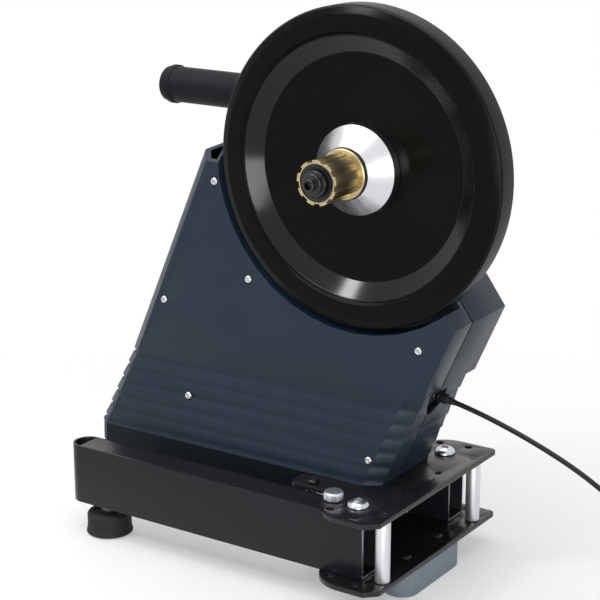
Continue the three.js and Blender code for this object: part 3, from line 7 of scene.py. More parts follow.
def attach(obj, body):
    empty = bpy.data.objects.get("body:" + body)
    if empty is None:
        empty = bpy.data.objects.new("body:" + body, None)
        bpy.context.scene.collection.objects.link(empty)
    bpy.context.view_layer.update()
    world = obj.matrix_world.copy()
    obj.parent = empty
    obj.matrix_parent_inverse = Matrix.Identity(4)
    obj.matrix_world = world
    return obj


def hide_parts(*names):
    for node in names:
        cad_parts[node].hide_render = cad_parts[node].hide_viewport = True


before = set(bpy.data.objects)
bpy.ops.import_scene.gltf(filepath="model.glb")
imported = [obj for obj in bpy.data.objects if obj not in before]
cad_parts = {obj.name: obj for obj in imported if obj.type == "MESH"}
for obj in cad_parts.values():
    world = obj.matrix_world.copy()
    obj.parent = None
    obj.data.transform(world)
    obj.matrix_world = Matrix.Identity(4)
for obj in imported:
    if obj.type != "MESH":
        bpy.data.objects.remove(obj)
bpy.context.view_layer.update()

# Camera, seen from the front right and a little above.
# Its place was worked out from the round parts and straight edges of the photograph.
camera_place = (0.7797, -1.1644, 0.6261)
view_right = Vector((0.832, 0.555, 0.0)).normalized()
view_back = Vector((0.532, -0.798, 0.283)).normalized()
view_up = view_back.cross(view_right).normalized()
camera_data = bpy.data.cameras.new("camera")
camera_data.lens = 108.36
camera_data.sensor_width = 36
camera_data.clip_end = 50
camera = bpy.data.objects.new("camera", camera_data)
camera.matrix_world = Matrix.Translation(camera_place) @ Matrix(
    (view_right, view_up, view_back)).transposed().to_4x4()
bpy.context.scene.collection.objects.link(camera)
bpy.context.scene.camera = camera
bpy.context.scene.view_settings.view_transform = "Standard"

# Power lead: 4 mm round black lead, 1.5 m long, from the plug down to the floor.
# The length that isn't seen is wound into one coil of two layers beside its adapter.
axle_x, middle_y, axle_height = 70.3, 25, 333
floor_z = -axle_height
plug_x, plug_y, plug_z = 49.4, 38, -180.5
plug_length = 22.3
tilt = math.radians(10.4)
lead_diameter = 0.004
lead_rest_z = floor_z + 2
route = [(84, -187.1), (97, -190.2), (110, -193.8), (127, -199), (148, -206.3), (170, -215.2),
         (190, -225), (209, -236.5), (226, -250), (240, -265.5), (251, -282), (261, -299),
         (271, -314), (283, -325.5), (298, -330.6), (310, lead_rest_z), (316.7, lead_rest_z)]
route_steps = 8
coil_x, coil_y = 325, 71.075
coil_turns = 7.5
coil_pitch = 4.5
coil_inner_radius = 16.2
coil_layer = 4.5
climb_turns = 0.5
coil_steps = 360
coil_run_in = 4
adapter_run = 0.032


def spot(x, y, z):
    """A point given in millimetres from the axle's centre, in the row frame."""
    return Vector(((x + axle_x) / 1000, (y - middle_y) / 1000, (z + axle_height) / 1000))


def material(name, colour, rough, metal=0.0, vary=0.12, scale=90, bump=0.05, grain=900, shine=0.5):
    """Procedural finish: cloudy colour and roughness, with a fine grain in the surface."""
    made = bpy.data.materials.new(name)
    made.use_nodes = True
    nodes, links = made.node_tree.nodes, made.node_tree.links
    shader = nodes["Principled BSDF"]
    shader.inputs["Metallic"].default_value = metal
    shader.inputs["Specular IOR Level"].default_value = shine
    place = nodes.new("ShaderNodeTexCoord")
    cloud = nodes.new("ShaderNodeTexNoise")
    cloud.inputs["Scale"].default_value = scale
    cloud.inputs["Detail"].default_value = 6
    links.new(place.outputs["Object"], cloud.inputs["Vector"])
    ramp = nodes.new("ShaderNodeValToRGB")
    for stop, share, at in ((0, 1 - vary, 0.3), (1, 1 + vary, 0.7)):
        ramp.color_ramp.elements[stop].position = at
        ramp.color_ramp.elements[stop].color = [min(1, c * share) for c in colour] + [1]
    links.new(cloud.outputs["Fac"], ramp.inputs["Fac"])
    links.new(ramp.outputs["Color"], shader.inputs["Base Color"])
    spread = nodes.new("ShaderNodeMapRange")
    spread.inputs["To Min"].default_value = max(0.03, rough * 0.8)
    spread.inputs["To Max"].default_value = min(1.0, rough * 1.2)
    links.new(cloud.outputs["Fac"], spread.inputs["Value"])
    links.new(spread.outputs["Result"], shader.inputs["Roughness"])
    fine = nodes.new("ShaderNodeTexNoise")
    fine.inputs["Scale"].default_value = grain
    fine.inputs["Detail"].default_value = 3
    links.new(place.outputs["Object"], fine.inputs["Vector"])
    dent = nodes.new("ShaderNodeBump")
    dent.inputs["Strength"].default_value = bump
    dent.inputs["Distance"].default_value = 0.0005
    links.new(fine.outputs["Fac"], dent.inputs["Height"])
    links.new(dent.outputs["Normal"], shader.inputs["Normal"])
    return made


def place_piece(obj, body, nodes, finish):
    """Gives a piece its finish, and has it stand for its nodes and ride on its body."""
    obj.data.materials.clear()
    obj.data.materials.append(finish)
    bpy.context.scene.collection.objects.link(obj)
    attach(obj, body)
    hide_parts(*nodes)
    return obj


def woven_line(points, steps):
    """A smooth line through the points."""
    line = []
    ends = [points[0] * 2 - points[1]] + points + [points[-1] * 2 - points[-2]]
    for i in range(1, len(ends) - 2):
        p, q, r, s = ends[i - 1:i + 3]
        for k in range(steps):
            t = k / steps
            line.append(0.5 * (2 * q + (r - p) * t + (2 * p - 5 * q + 4 * r - s) * t * t
                               + (3 * q - p - 3 * r + s) * t ** 3))
    return line + [points[-1]]


def coil_line():
    """In on the floor, up one layer at the middle, and out again on top."""
    line = []
    for i in range(coil_steps + 1):
        turn = coil_turns * i / coil_steps
        angle = -math.pi / 2 + 2 * math.pi * turn
        radius = coil_inner_radius + coil_pitch * abs(turn - coil_turns / 2)
        climb = min(1, max(0, (turn - coil_turns / 2) / climb_turns + 0.5))
        line.append(spot(coil_x + radius * math.cos(angle), coil_y + radius * math.sin(angle),
                         lead_rest_z + coil_layer * climb))
    return line


rubber_black = material("lead_rubber", (0.006, 0.006, 0.007), 0.42, bump=0.03, shine=0.3)
lead_start = spot(plug_x + plug_length * math.cos(tilt), plug_y,
                  plug_z - plug_length * math.sin(tilt))
along = Vector((math.cos(tilt), 0, -math.sin(tilt))) * lead_diameter
lead_line = woven_line([lead_start, lead_start + along]
                       + [spot(x, plug_y, z) for x, z in route], route_steps)
coil = coil_line()
whole = (lead_line + [spot(coil_x - coil_run_in, plug_y, lead_rest_z)] + coil
         + [coil[-1] - Vector((adapter_run, 0, 0))])
lead_curve = bpy.data.curves.new("power_lead_skin", "CURVE")
lead_curve.dimensions = "3D"
lead_curve.bevel_depth = lead_diameter / 2
lead_curve.bevel_resolution = 4
lead_curve.use_fill_caps = True
strand = lead_curve.splines.new("POLY")
strand.points.add(len(whole) - 1)
for point, at in zip(strand.points, whole):
    point.co = (*at, 1)
lead = bpy.data.objects.new("power_lead_skin", lead_curve)
place_piece(lead, "stand", ["power_lead", "lead_coil"], rubber_black)

# Power plug: moulded black barrel plug with a tapered relief, pushed into the power jack.
# Its axis leans down with the connector panel.
plug_tip_x, plug_body_x, plug_body_end_x = 44.7, 53.9, 64.4
plug_pin_radius = 2.5
plug_body_radius = 4.1
plug_line_radius = 3.9
plug_line_x = 57.2
relief_steps = [(3.2, 64.4), (3.0, 66), (2.7, 66), (2.7, 66.7), (2.9, 66.7), (2.6, 68.5),
                (2.35, 68.5), (2.35, 69.2), (2.5, 69.2), (2.1, 71.4), (0, 71.4)]
full_turn = 2 * math.pi
crisp_angle = 0.6


def eased(profile, radius):
    """Rounds the corners of a profile, each in three steps."""
    steps = 3
    closed = profile[0] == profile[-1]
    points = [Vector(p) for p in (profile[:-1] if closed else profile)]
    made = []
    for i, corner in enumerate(points):
        if not closed and i in (0, len(points) - 1):
            made.append(corner)
            continue
        before, after = points[i - 1], points[(i + 1) % len(points)]
        into, out = before - corner, after - corner
        reach = min(radius, 0.35 * into.length, 0.35 * out.length)
        if abs(into.normalized().dot(out.normalized())) > 0.985 or reach < 0.02:
            made.append(corner)
            continue
        start, end = corner + into.normalized() * reach, corner + out.normalized() * reach
        for k in range(steps + 1):
            t = k / steps
            made.append(start * (1 - t) ** 2 + corner * 2 * t * (1 - t) + end * t * t)
    return made + [made[0]] if closed else made


def finished(name, bm):
    """Makes an object of a mesh, with soft shading and crisp edges."""
    bmesh.ops.remove_doubles(bm, verts=bm.verts, dist=1e-6)
    bmesh.ops.recalc_face_normals(bm, faces=bm.faces)
    for face in bm.faces:
        face.smooth = True
    for edge in bm.edges:
        edge.smooth = len(edge.link_faces) != 2 or edge.calc_face_angle(0) < crisp_angle
    mesh = bpy.data.meshes.new(name)
    bm.to_mesh(mesh)
    bm.free()
    return bpy.data.objects.new(name, mesh)


def spun_mesh(axis, a, b, profile, steps, ease=0.4, socket=0, nut=0, knurl=0):
    """A piece turned about an axis that runs along x, y or z through (a, b).

    It is six sided within the socket radius and beyond the nut radius, and its widest
    rim has knurls as deep as knurl.
    """
    bm = bmesh.new()
    lay = {"x": lambda r, t: spot(t, a + r, b), "y": lambda r, t: spot(a + r, t, b),
           "z": lambda r, t: spot(a + r, b, t)}[axis]
    centre = lay(0, 0)
    way = Vector([float(axis == n) for n in "xyz"])
    side = Vector([float(axis != "x"), float(axis == "x"), 0])
    verts = [bm.verts.new(lay(*p)) for p in eased(profile, ease)]
    edges = [bm.edges.new(pair) for pair in zip(verts, verts[1:])]
    bmesh.ops.spin(bm, geom=verts + edges, cent=centre, axis=way, angle=full_turn, steps=steps)
    bmesh.ops.remove_doubles(bm, verts=bm.verts, dist=2e-6)
    rim = max(p[0] for p in profile) / 1000 - 2e-4
    for vert in bm.verts:
        off = vert.co - centre
        off -= way * off.dot(way)
        radius = off.length
        if radius < 1e-6:
            continue
        turn = math.atan2(way.cross(side).dot(off), side.dot(off))
        if socket and radius < socket / 1000 + 1e-6 or nut and radius > nut / 1000:
            sector = turn % (math.pi / 3) - math.pi / 6
            vert.co += off * (math.cos(math.pi / 6) / math.cos(sector) - 1)
        if knurl and radius > rim and round(turn / full_turn * steps) % 2:
            vert.co -= off * (knurl / 1000 / radius)
    return bm


def spun(name, axis, a, b, profile, finish, body, slot, nodes, **more):
    """Places a turned piece."""
    return place_piece(finished(name, spun_mesh(axis, a, b, profile, **more)), body,
                       nodes, finish)


def leaned(obj):
    """Leans a piece that was made along x about the plug's seat."""
    seat = spot(plug_x, plug_y, plug_z)
    obj.data.transform(Matrix.Translation(seat) @ Matrix.Rotation(tilt, 4, "Y")
                       @ Matrix.Translation(-seat))


black_plastic = material("black_plastic", (0.007, 0.007, 0.008), 0.42, bump=0.08, shine=0.35)
plug = spun("power_plug_skin", "x", plug_y, plug_z, [
    (0, plug_tip_x), (plug_pin_radius, plug_tip_x), (plug_pin_radius, plug_body_x),
    (plug_body_radius, plug_body_x), (plug_body_radius, plug_line_x),
    (plug_line_radius, plug_line_x + 0.3), (plug_line_radius, plug_line_x + 0.7),
    (plug_body_radius, plug_line_x + 1), (plug_body_radius, plug_body_end_x)] + relief_steps,
    black_plastic, "stand", "black_plastic", ["power_plug"], steps=48, ease=0.3)
leaned(plug)

# Wall adapter: black moulded case with a relief and two blades, on the floor by the coil.
# It starts from the case's solid, with every edge rounded.
def made_flat(bm):
    """Joins the corners that lie together and the facets that lie flat."""
    bmesh.ops.remove_doubles(bm, verts=bm.verts, dist=5e-6)
    bmesh.ops.dissolve_limit(bm, angle_limit=0.01, verts=bm.verts, edges=bm.edges)


def rounded(bm, width, sharp):
    """Rounds the edges that turn by more than an angle, in millimetres and radians."""
    edges = [e for e in bm.edges if len(e.link_faces) == 2 and e.calc_face_angle(0) > sharp]
    if width:
        bmesh.ops.bevel(bm, geom=edges, offset=width / 1000, segments=2, affect="EDGES",
                        clamp_overlap=True, profile=0.5, material=-1)
    bmesh.ops.triangulate(bm, faces=[f for f in bm.faces if len(f.verts) > 4])


def dressed(name, node, finish, body, edge, sharp=0.5, shaped=None):
    """A piece with the solid's shape, its flat facets joined and its edges rounded."""
    bm = bmesh.new()
    bm.from_mesh(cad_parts[node].data)
    made_flat(bm)
    bmesh.ops.recalc_face_normals(bm, faces=bm.faces)
    if shaped:
        bm = shaped(bm)
    rounded(bm, edge, sharp)
    return place_piece(finished(name, bm), body, [node], finish)


dressed("power_adapter_skin", "power_adapter", black_plastic, "stand", edge=0.5)

# Base plates: two 4 mm steel plates cut from one drawing, enamelled glossy black.
# Posts, pivot bolts and lock pins stand in their holes, and two nuts are welded below.
plate_thickness = 4
upper_plate_z, lower_plate_z = -252, -307.6
pivot_x, pivot_span = 32, 68
pivot_hole_radius = 5.3
ear_radius = 30
plate_front_x = 64.5
near_corner, far_corner = 9.5, 2.5
neck_back_x, neck_half_width, neck_corner = -40, 55.4, 6
post_x, post_span, post_hole_radius = 57, 72, 4.05
stem_post_x, stem_post_span, stem_hole_radius = -23, 47, 2.7
lock_reach, lock_hole_radius = 22.5, 3.25
swing = math.radians(50)
spare_hole_x, spare_hole_span = 42.6, 21.2
peg_x, peg_span, peg_hole_radius = 50, 25, 2.75
nut_low_z, nut_high_z, nut_radius = -319.6, -311.4, 9.7
sides = [("near", -1), ("far", 1)]
near_pivot_y, far_pivot_y = middle_y - pivot_span, middle_y + pivot_span


def arc(cx, cy, radius, first, last, steps):
    """Points of an arc about (cx, cy), from one angle to another in degrees."""
    return [(cx + radius * math.cos(math.radians(first + (last - first) * k / steps)),
             cy + radius * math.sin(math.radians(first + (last - first) * k / steps)))
            for k in range(steps + 1)]


def slab_mesh(axis, outline, holes, lo, hi, edge=0.4, window=None):
    """A flat sheet with round holes, drawn square to the axis, with eased edges."""
    bm = bmesh.new()
    lay = {"y": lambda u, v, t: spot(u, t, v), "z": lambda u, v, t: spot(u, v, t)}[axis]
    loops = [outline] + [arc(u, v, r, 0, 360, 40)[:-1] for u, v, r in holes]
    if window:
        loops.append(window)
    rim = []
    for loop in loops:
        verts = [bm.verts.new(lay(u, v, lo)) for u, v in loop]
        rim += [bm.edges.new((verts[i - 1], verts[i])) for i in range(len(verts))]
    bmesh.ops.triangle_fill(bm, edges=rim, use_beauty=True, use_dissolve=False)
    bmesh.ops.dissolve_limit(bm, angle_limit=0.01, verts=[], edges=bm.edges)
    pulled = bmesh.ops.extrude_face_region(bm, geom=list(bm.faces))["geom"]
    moved = [g for g in pulled if isinstance(g, bmesh.types.BMVert)]
    bmesh.ops.translate(bm, verts=moved, vec=lay(0, 0, hi) - lay(0, 0, lo))
    bmesh.ops.recalc_face_normals(bm, faces=bm.faces)
    rounded(bm, edge, 1.2)
    return bm


def add_mesh(bm, other):
    """Adds another mesh to a mesh."""
    spare = bpy.data.meshes.new("spare")
    other.to_mesh(spare)
    other.free()
    bm.from_mesh(spare)
    bpy.data.meshes.remove(spare)


enamel = material("base_enamel", (0.007, 0.006, 0.008), 0.3, vary=0.06, bump=0.05, scale=60,
                  grain=500, shine=0.4)
bend = math.degrees(math.asin((pivot_span - neck_half_width) / ear_radius))
plate_near_y, plate_far_y = near_pivot_y - ear_radius, far_pivot_y + ear_radius
neck_x = neck_back_x + neck_corner
neck_span = neck_half_width - neck_corner
plate_outline = (
    [(plate_front_x, plate_near_y + near_corner), (plate_front_x, plate_far_y - far_corner),
     (plate_front_x - far_corner, plate_far_y)]
    + arc(pivot_x, far_pivot_y, ear_radius, 90, 180 + bend, 24)
    + arc(neck_x, middle_y + neck_span, neck_corner, 90, 180, 8)
    + arc(neck_x, middle_y - neck_span, neck_corner, 180, 270, 8)
    + arc(pivot_x, near_pivot_y, ear_radius, 180 - bend, 270, 24)
    + [(plate_front_x - near_corner, plate_near_y)])
for node, top in (("upper_plate", upper_plate_z), ("lower_plate", lower_plate_z)):
    holes = []
    for side, sign in sides:
        y = middle_y + pivot_span * sign
        holes += [(pivot_x, y, pivot_hole_radius),
                  (post_x, middle_y + post_span * sign, post_hole_radius),
                  (stem_post_x, middle_y + stem_post_span * sign, stem_hole_radius),
                  (pivot_x - lock_reach, y, lock_hole_radius),
                  (pivot_x - lock_reach * math.cos(swing),
                   y + sign * lock_reach * math.sin(swing), lock_hole_radius),
                  (spare_hole_x, y + sign * spare_hole_span, lock_hole_radius),
                  (peg_x, middle_y + peg_span * sign, peg_hole_radius)]
    bm = slab_mesh("z", plate_outline, holes, top - plate_thickness, top)
    if node == "lower_plate":
        for y in (near_pivot_y, far_pivot_y):
            add_mesh(bm, spun_mesh("z", pivot_x, y, [
                (pivot_hole_radius, nut_low_z), (nut_radius - 0.5, nut_low_z),
                (nut_radius, nut_low_z + 0.8), (nut_radius, nut_high_z),
                (pivot_hole_radius, nut_high_z), (pivot_hole_radius, nut_low_z)],
                steps=48, ease=0, nut=6))
    place_piece(finished(node + "_skin", bm), "stand", [node], enamel)

# Posts between the plates: turned aluminium, the front ones swaged flush with the plates.
# The stem posts are riveted over. The ends of all four are painted with the plates.
post_low_z, post_high_z = -307.3, -256.3
post_radius = 6
post_end_radius = 3.8
rivet_radius, rivet_head_radius = 2.4, 4.5
rivet_low_z, rivet_high_z = -311.9, -251.7


def turned_material(name, colour, rough, centre, vary=0.04, lines=2600, bump=0.12):
    """Metal with fine turning lines round a point, seen along the y axis."""
    made = material(name, colour, rough, metal=1.0, vary=vary, scale=40, bump=0.0)
    nodes, links = made.node_tree.nodes, made.node_tree.links
    place = nodes["Texture Coordinate"]
    shift = nodes.new("ShaderNodeVectorMath")
    shift.operation = "SUBTRACT"
    shift.inputs[1].default_value = centre
    links.new(place.outputs["Object"], shift.inputs[0])
    flat = nodes.new("ShaderNodeVectorMath")
    flat.operation = "MULTIPLY"
    flat.inputs[1].default_value = (1, 0.35, 1)
    links.new(shift.outputs[0], flat.inputs[0])
    far = nodes.new("ShaderNodeVectorMath")
    far.operation = "LENGTH"
    links.new(flat.outputs[0], far.inputs[0])
    rings = nodes.new("ShaderNodeTexNoise")
    rings.noise_dimensions = "1D"
    rings.inputs["Scale"].default_value = lines
    rings.inputs["Detail"].default_value = 2
    links.new(far.outputs["Value"], rings.inputs["W"])
    dent = nodes["Bump"]
    dent.inputs["Strength"].default_value = bump
    dent.inputs["Distance"].default_value = 0.0002
    links.new(rings.outputs["Fac"], dent.inputs["Height"])
    return made


def painted(obj, paint, chosen):
    """Gives another finish to the faces that are chosen."""
    obj.data.materials.append(paint)
    for face in obj.data.polygons:
        if chosen(face):
            face.material_index = len(obj.data.materials) - 1


def outside(low, high):
    """Chooses the faces below one height and above another."""
    return lambda face: not spot(0, 0, low).z < face.center.z < spot(0, 0, high).z


aluminium = turned_material("turned_aluminium", (0.72, 0.73, 0.75), 0.42,
                            spot(post_x, middle_y, upper_plate_z))
for side, sign in sides:
    post = spun(side + "_front_post_skin", "z", post_x, middle_y + post_span * sign, [
        (0, -311.6), (post_end_radius, -311.6), (post_end_radius, post_low_z),
        (post_radius, post_low_z), (post_radius, post_high_z), (post_end_radius, post_high_z),
        (post_end_radius, upper_plate_z), (3.0, upper_plate_z + 0.2), (2.8, upper_plate_z - 0.2),
        (0, upper_plate_z - 0.2)], aluminium, "stand", "post_aluminium",
        [side + "_front_post"], steps=48)
    painted(post, enamel, outside(post_low_z - 0.2, post_high_z + 0.1))
    post = spun(side + "_stem_post_skin", "z", stem_post_x, middle_y + stem_post_span * sign, [
        (0, -314.5), (2.7, -314.5), (rivet_head_radius, -313.3), (rivet_head_radius, rivet_low_z),
        (rivet_radius, rivet_low_z), (rivet_radius, post_low_z), (post_radius, post_low_z),
        (post_radius, post_high_z), (rivet_radius, post_high_z), (rivet_radius, rivet_high_z),
        (rivet_head_radius, rivet_high_z), (4.4, -250.2), (3.4, -249.1), (1.3, -249.1),
        (1.1, -250.0), (0, -250.0)], aluminium, "stand", "zinc", [side + "_stem_post"], steps=48,
        ease=0.5)
    painted(post, enamel, outside(post_low_z - 0.2, post_high_z + 0.1))

# Pivot bolts: M10 button head bolts, zinc plated, with a hexagon socket.
# Each goes through both plates and a leg, into the nut welded under the lower plate.
bolt_radius = 5
bolt_head_radius, bolt_head_height = 8.75, 5.2
bolt_seat_z = -251.7
bolt_socket_radius = 3.45
zinc = material("zinc_plate", (0.56, 0.59, 0.62), 0.26, metal=1.0, vary=0.08, bump=0.04)
dome = [(bolt_head_radius * math.cos(t), bolt_seat_z + bolt_head_height * math.sin(t))
        for t in [0.1 + 0.2 * k for k in range(6)]]
for side, sign in sides:
    spun(side + "_pivot_bolt_skin", "z", pivot_x, middle_y + pivot_span * sign, [
        (0, nut_low_z), (4.2, nut_low_z), (bolt_radius, nut_low_z + 1),
        (bolt_radius, bolt_seat_z), (bolt_head_radius, bolt_seat_z)] + dome
        + [(bolt_socket_radius, -246.75), (3.4, -249.6), (0, -250.1)], zinc, "stand", "zinc",
        [side + "_pivot_bolt"], steps=72, ease=0.25, socket=bolt_socket_radius)

# Lock pins: turned aluminium knobs with a knurled edge on steel pins.
# Each drops through the upper plate to hold its leg folded or spread.
lock_x = pivot_x - lock_reach
lock_pin_radius, lock_pin_end_z = 3, -256
knob_radius = 7.85
knob_low_z, knob_high_z = -251.7, -244.7
knob_metal = turned_material("knob_aluminium", (0.6, 0.62, 0.64), 0.4,
                             spot(lock_x, middle_y, -245), bump=0.06)
for side, sign in sides:
    spun(side + "_lock_pin_skin", "z", lock_x, middle_y + pivot_span * sign, [
        (0, lock_pin_end_z), (lock_pin_radius - 0.4, lock_pin_end_z), (lock_pin_radius, -255.4),
        (lock_pin_radius, knob_low_z), (7.3, knob_low_z), (knob_radius, -251.0),
        (knob_radius, -246.2), (6.9, knob_high_z), (0, knob_high_z)], knob_metal,
        side + "_lock", "post_aluminium", [side + "_lock_pin"], steps=72, ease=0.2, knurl=0.3)

# Legs: 50 by 25 mm steel box tube, enamelled black, the back ends closed by a half round.
# The half round is open above and below, and the front ends are cut square and left bare.
leg_back_x, leg_front_x = -250.7, 43.5
leg_half_width, leg_wall = 12.7, 2
leg_low_z, leg_high_z = -307.2, -256.4
leg_bore_half = leg_half_width - leg_wall
round_x, bore_end_x = leg_back_x + leg_half_width, 48
cut_low_z, cut_high_z = -312, -250
foot_x, stud_hole_radius = -217, 4.3


def racetrack(x0, x1, y, half, lo, hi):
    """A block with one half round end."""
    outline = [(x1, y - half), (x1, y + half)] + arc(x0 + half, y, half, 90, 270, 40)
    return slab_mesh("z", outline, [], lo, hi, 0)


def hole_cutter(x, y, radius, lo, hi):
    """A round bar that cuts an upright hole."""
    return spun_mesh("z", x, y, [(0, lo), (radius, lo), (radius, hi), (0, hi)], steps=48, ease=0)


def carved(bm, cutters):
    """Cuts each cutter mesh out of a mesh."""
    body = finished("carved", bm)
    bpy.context.scene.collection.objects.link(body)
    tools = []
    for cutter in cutters:
        tool = finished("cutter", cutter)
        bpy.context.scene.collection.objects.link(tool)
        step = body.modifiers.new("cut", "BOOLEAN")
        step.operation = "DIFFERENCE"
        step.solver = "EXACT"
        step.object = tool
        tools.append(tool)
    result = bmesh.new()
    result.from_object(body, bpy.context.evaluated_depsgraph_get())
    for obj in [body] + tools:
        bpy.data.objects.remove(obj)
    return result


leg_enamel = material("leg_enamel", (0.009, 0.008, 0.011), 0.3, vary=0.06, bump=0.06, scale=30,
                      grain=400, shine=0.26)
for side, sign in sides:
    y = middle_y + pivot_span * sign
    bore = [(round_x, y - leg_bore_half), (bore_end_x, y - leg_bore_half),
            (bore_end_x, y + leg_bore_half), (round_x, y + leg_bore_half)]
    bm = carved(racetrack(leg_back_x, leg_front_x, y, leg_half_width, leg_low_z, leg_high_z), [
        slab_mesh("z", bore, [], leg_low_z + leg_wall, leg_high_z - leg_wall, 0),
        racetrack(leg_back_x + leg_wall, round_x, y, leg_bore_half, cut_low_z, cut_high_z),
        hole_cutter(pivot_x, y, pivot_hole_radius, cut_low_z, cut_high_z),
        hole_cutter(lock_x, y, lock_hole_radius, -262, cut_high_z),
        hole_cutter(foot_x, y, stud_hole_radius, cut_low_z, -300)])
    made_flat(bm)
    rounded(bm, 0.4, 1.2)
    leg = place_piece(finished(side + "_leg_tube_skin", bm), side + "_leg",
                      [side + "_leg_tube"], leg_enamel)
    bare_x = max(v.co.x for v in leg.data.vertices) - 0.0006
    painted(leg, zinc, lambda face: face.normal.x > 0.5 and face.center.x > bare_x)

# Leg feet: black rubber pads with a slight flare, each on a zinc plated stud.
# The stud threads into the leg, and its hexagon sets the height.
pad_foot_radius, pad_radius, pad_neck_radius = 19.7, 18.8, 17.4
pad_top_z, pad_ring_z = -314, -314.8
pad_bore_radius, pad_bore_z = 4.3, -328.3
stud_radius, stud_low_z, stud_high_z = 4, -328, -292
stud_collar_radius, stud_collar_low_z, stud_collar_high_z = 7.5, -313, -307.5
foot_rubber = material("foot_rubber", (0.012, 0.012, 0.013), 0.7, bump=0.2, grain=1400, shine=0.3)
for side, sign in sides:
    y = middle_y + pivot_span * sign
    spun(side + "_leg_foot_skin", "z", foot_x, y, [
        (0, floor_z), (17.6, floor_z), (pad_foot_radius - 0.1, floor_z + 0.6),
        (pad_foot_radius, floor_z + 2.6), (19.0, floor_z + 3.8), (18.7, -324),
        (pad_radius, -316.2), (pad_neck_radius, -314.2), (13, pad_top_z), (12.4, pad_ring_z),
        (6.5, pad_ring_z), (6, pad_top_z), (pad_bore_radius, pad_top_z),
        (pad_bore_radius, pad_bore_z), (0, pad_bore_z)], foot_rubber, side + "_foot", "rubber",
        [side + "_leg_foot"], steps=96, ease=0.8)
    spun(side + "_foot_stud_skin", "z", foot_x, y, [
        (0, stud_low_z), (stud_radius, stud_low_z), (stud_radius, stud_collar_low_z),
        (stud_collar_radius, stud_collar_low_z), (stud_collar_radius, stud_collar_high_z),
        (stud_radius, stud_collar_high_z), (stud_radius, stud_high_z - 0.6),
        (stud_radius - 0.6, stud_high_z), (0, stud_high_z)], zinc, side + "_foot", "zinc",
        [side + "_foot_stud"], steps=48, ease=0.2)

# Front foot: one long pad of grey blue plastic under the front of the lower plate.
# Two headed pegs snap through the plate and show on its upper face.
front_foot_radius, front_foot_span = 14.5, 30.5
front_foot_top_z = -311.9
peg_radius, peg_head_radius = 2.5, 4.6
peg_low_z, peg_head_low_z, peg_high_z = -314, -307.3, -304.9
grey_plastic = material("grey_plastic", (0.17, 0.2, 0.235), 0.5, vary=0.05, bump=0.12, grain=1300)
foot_outline = (arc(peg_x, middle_y + front_foot_span, front_foot_radius, 0, 180, 32)
                + arc(peg_x, middle_y - front_foot_span, front_foot_radius, 180, 360, 32))
bm = slab_mesh("z", foot_outline, [], floor_z, front_foot_top_z, 1.0)
for side, sign in sides:
    add_mesh(bm, spun_mesh("z", peg_x, middle_y + peg_span * sign, [
        (0, peg_low_z), (peg_radius, peg_low_z), (peg_radius, peg_head_low_z),
        (peg_head_radius, peg_head_low_z), (peg_head_radius, -306), (3, peg_high_z),
        (0, peg_high_z)], steps=40, ease=0.4))
foot = place_piece(finished("front_foot_skin", bm), "stand", ["front_foot"],
                   grey_plastic)
painted(foot, black_plastic, lambda face: face.center.z > spot(0, 0, lower_plate_z).z)

# Upright frame: two 4 mm steel plates inside the shell, enamelled dark grey.
# They stand on the upper base plate and hold the axle and the handle.
frame_paint = material("frame_paint", (0.06, 0.06, 0.065), 0.4, bump=0.08)
for node in ("near_frame_plate", "far_frame_plate"):
    dressed(node + "_skin", node, frame_paint, "stand", edge=0.3)
for node in ("rear_handle_bolt", "front_handle_bolt", "near_frame_bolt", "far_frame_bolt"):
    dressed(node + "_skin", node, zinc, "stand", edge=0.15, sharp=0.75)

# Axle and end caps: a hollow steel axle, and black stepped caps that take a bike's dropouts.
# The far cap clamps the shell against the frame.
axle_centre = spot(0, 0, 0)
cap_bore_radius, cap_seat_radius, cap_stub_radius = 3.1, 5.25, 4.9
near_tip_y, near_face_y, near_step_y, near_back_y = -65.7, -61, -57.5, -54.5
near_face_radius, near_rim_radius = 8, 10
far_tip_y, far_face_y, far_neck_y, far_back_y = 79, 74, 72.3, 66.3
far_face_radius, far_neck_radius = 9, 7
dressed("axle_skin", "axle", zinc, "stand", edge=0.15, sharp=0.75)
# Black of the end caps, also used as painted shade inside the freehub's mouth.
cap_black_and_mouth_shade = material("cap_black_and_mouth_shade", (0.005, 0.005, 0.006), 0.25, bump=0.04, shine=0.5)
spun("near_end_cap_skin", "y", 0, 0, [
    (cap_bore_radius, near_tip_y), (4.4, near_tip_y), (cap_stub_radius, -65.2),
    (cap_stub_radius, near_face_y), (7.4, near_face_y), (near_face_radius, -60.4),
    (near_face_radius, near_step_y), (9.5, near_step_y), (near_rim_radius, -57),
    (near_rim_radius, near_back_y), (cap_seat_radius, near_back_y),
    (cap_seat_radius, near_face_y - 0.6), (cap_bore_radius, near_face_y - 0.6),
    (cap_bore_radius, near_tip_y)], cap_black_and_mouth_shade, "stand", "base_enamel", ["near_end_cap"],
    steps=72, ease=0.3)
spun("far_end_cap_skin", "y", 0, 0, [
    (cap_seat_radius, far_back_y), (far_neck_radius, far_back_y), (far_neck_radius, far_neck_y),
    (far_face_radius, far_neck_y), (far_face_radius, 73.4), (8.4, far_face_y),
    (cap_stub_radius, far_face_y), (cap_stub_radius, 78.5), (4.4, far_tip_y),
    (cap_bore_radius, far_tip_y), (cap_bore_radius, far_face_y), (cap_seat_radius, far_face_y),
    (cap_seat_radius, far_back_y)], cap_black_and_mouth_shade, "stand", "base_enamel", ["far_end_cap"],
    steps=72, ease=0.3)

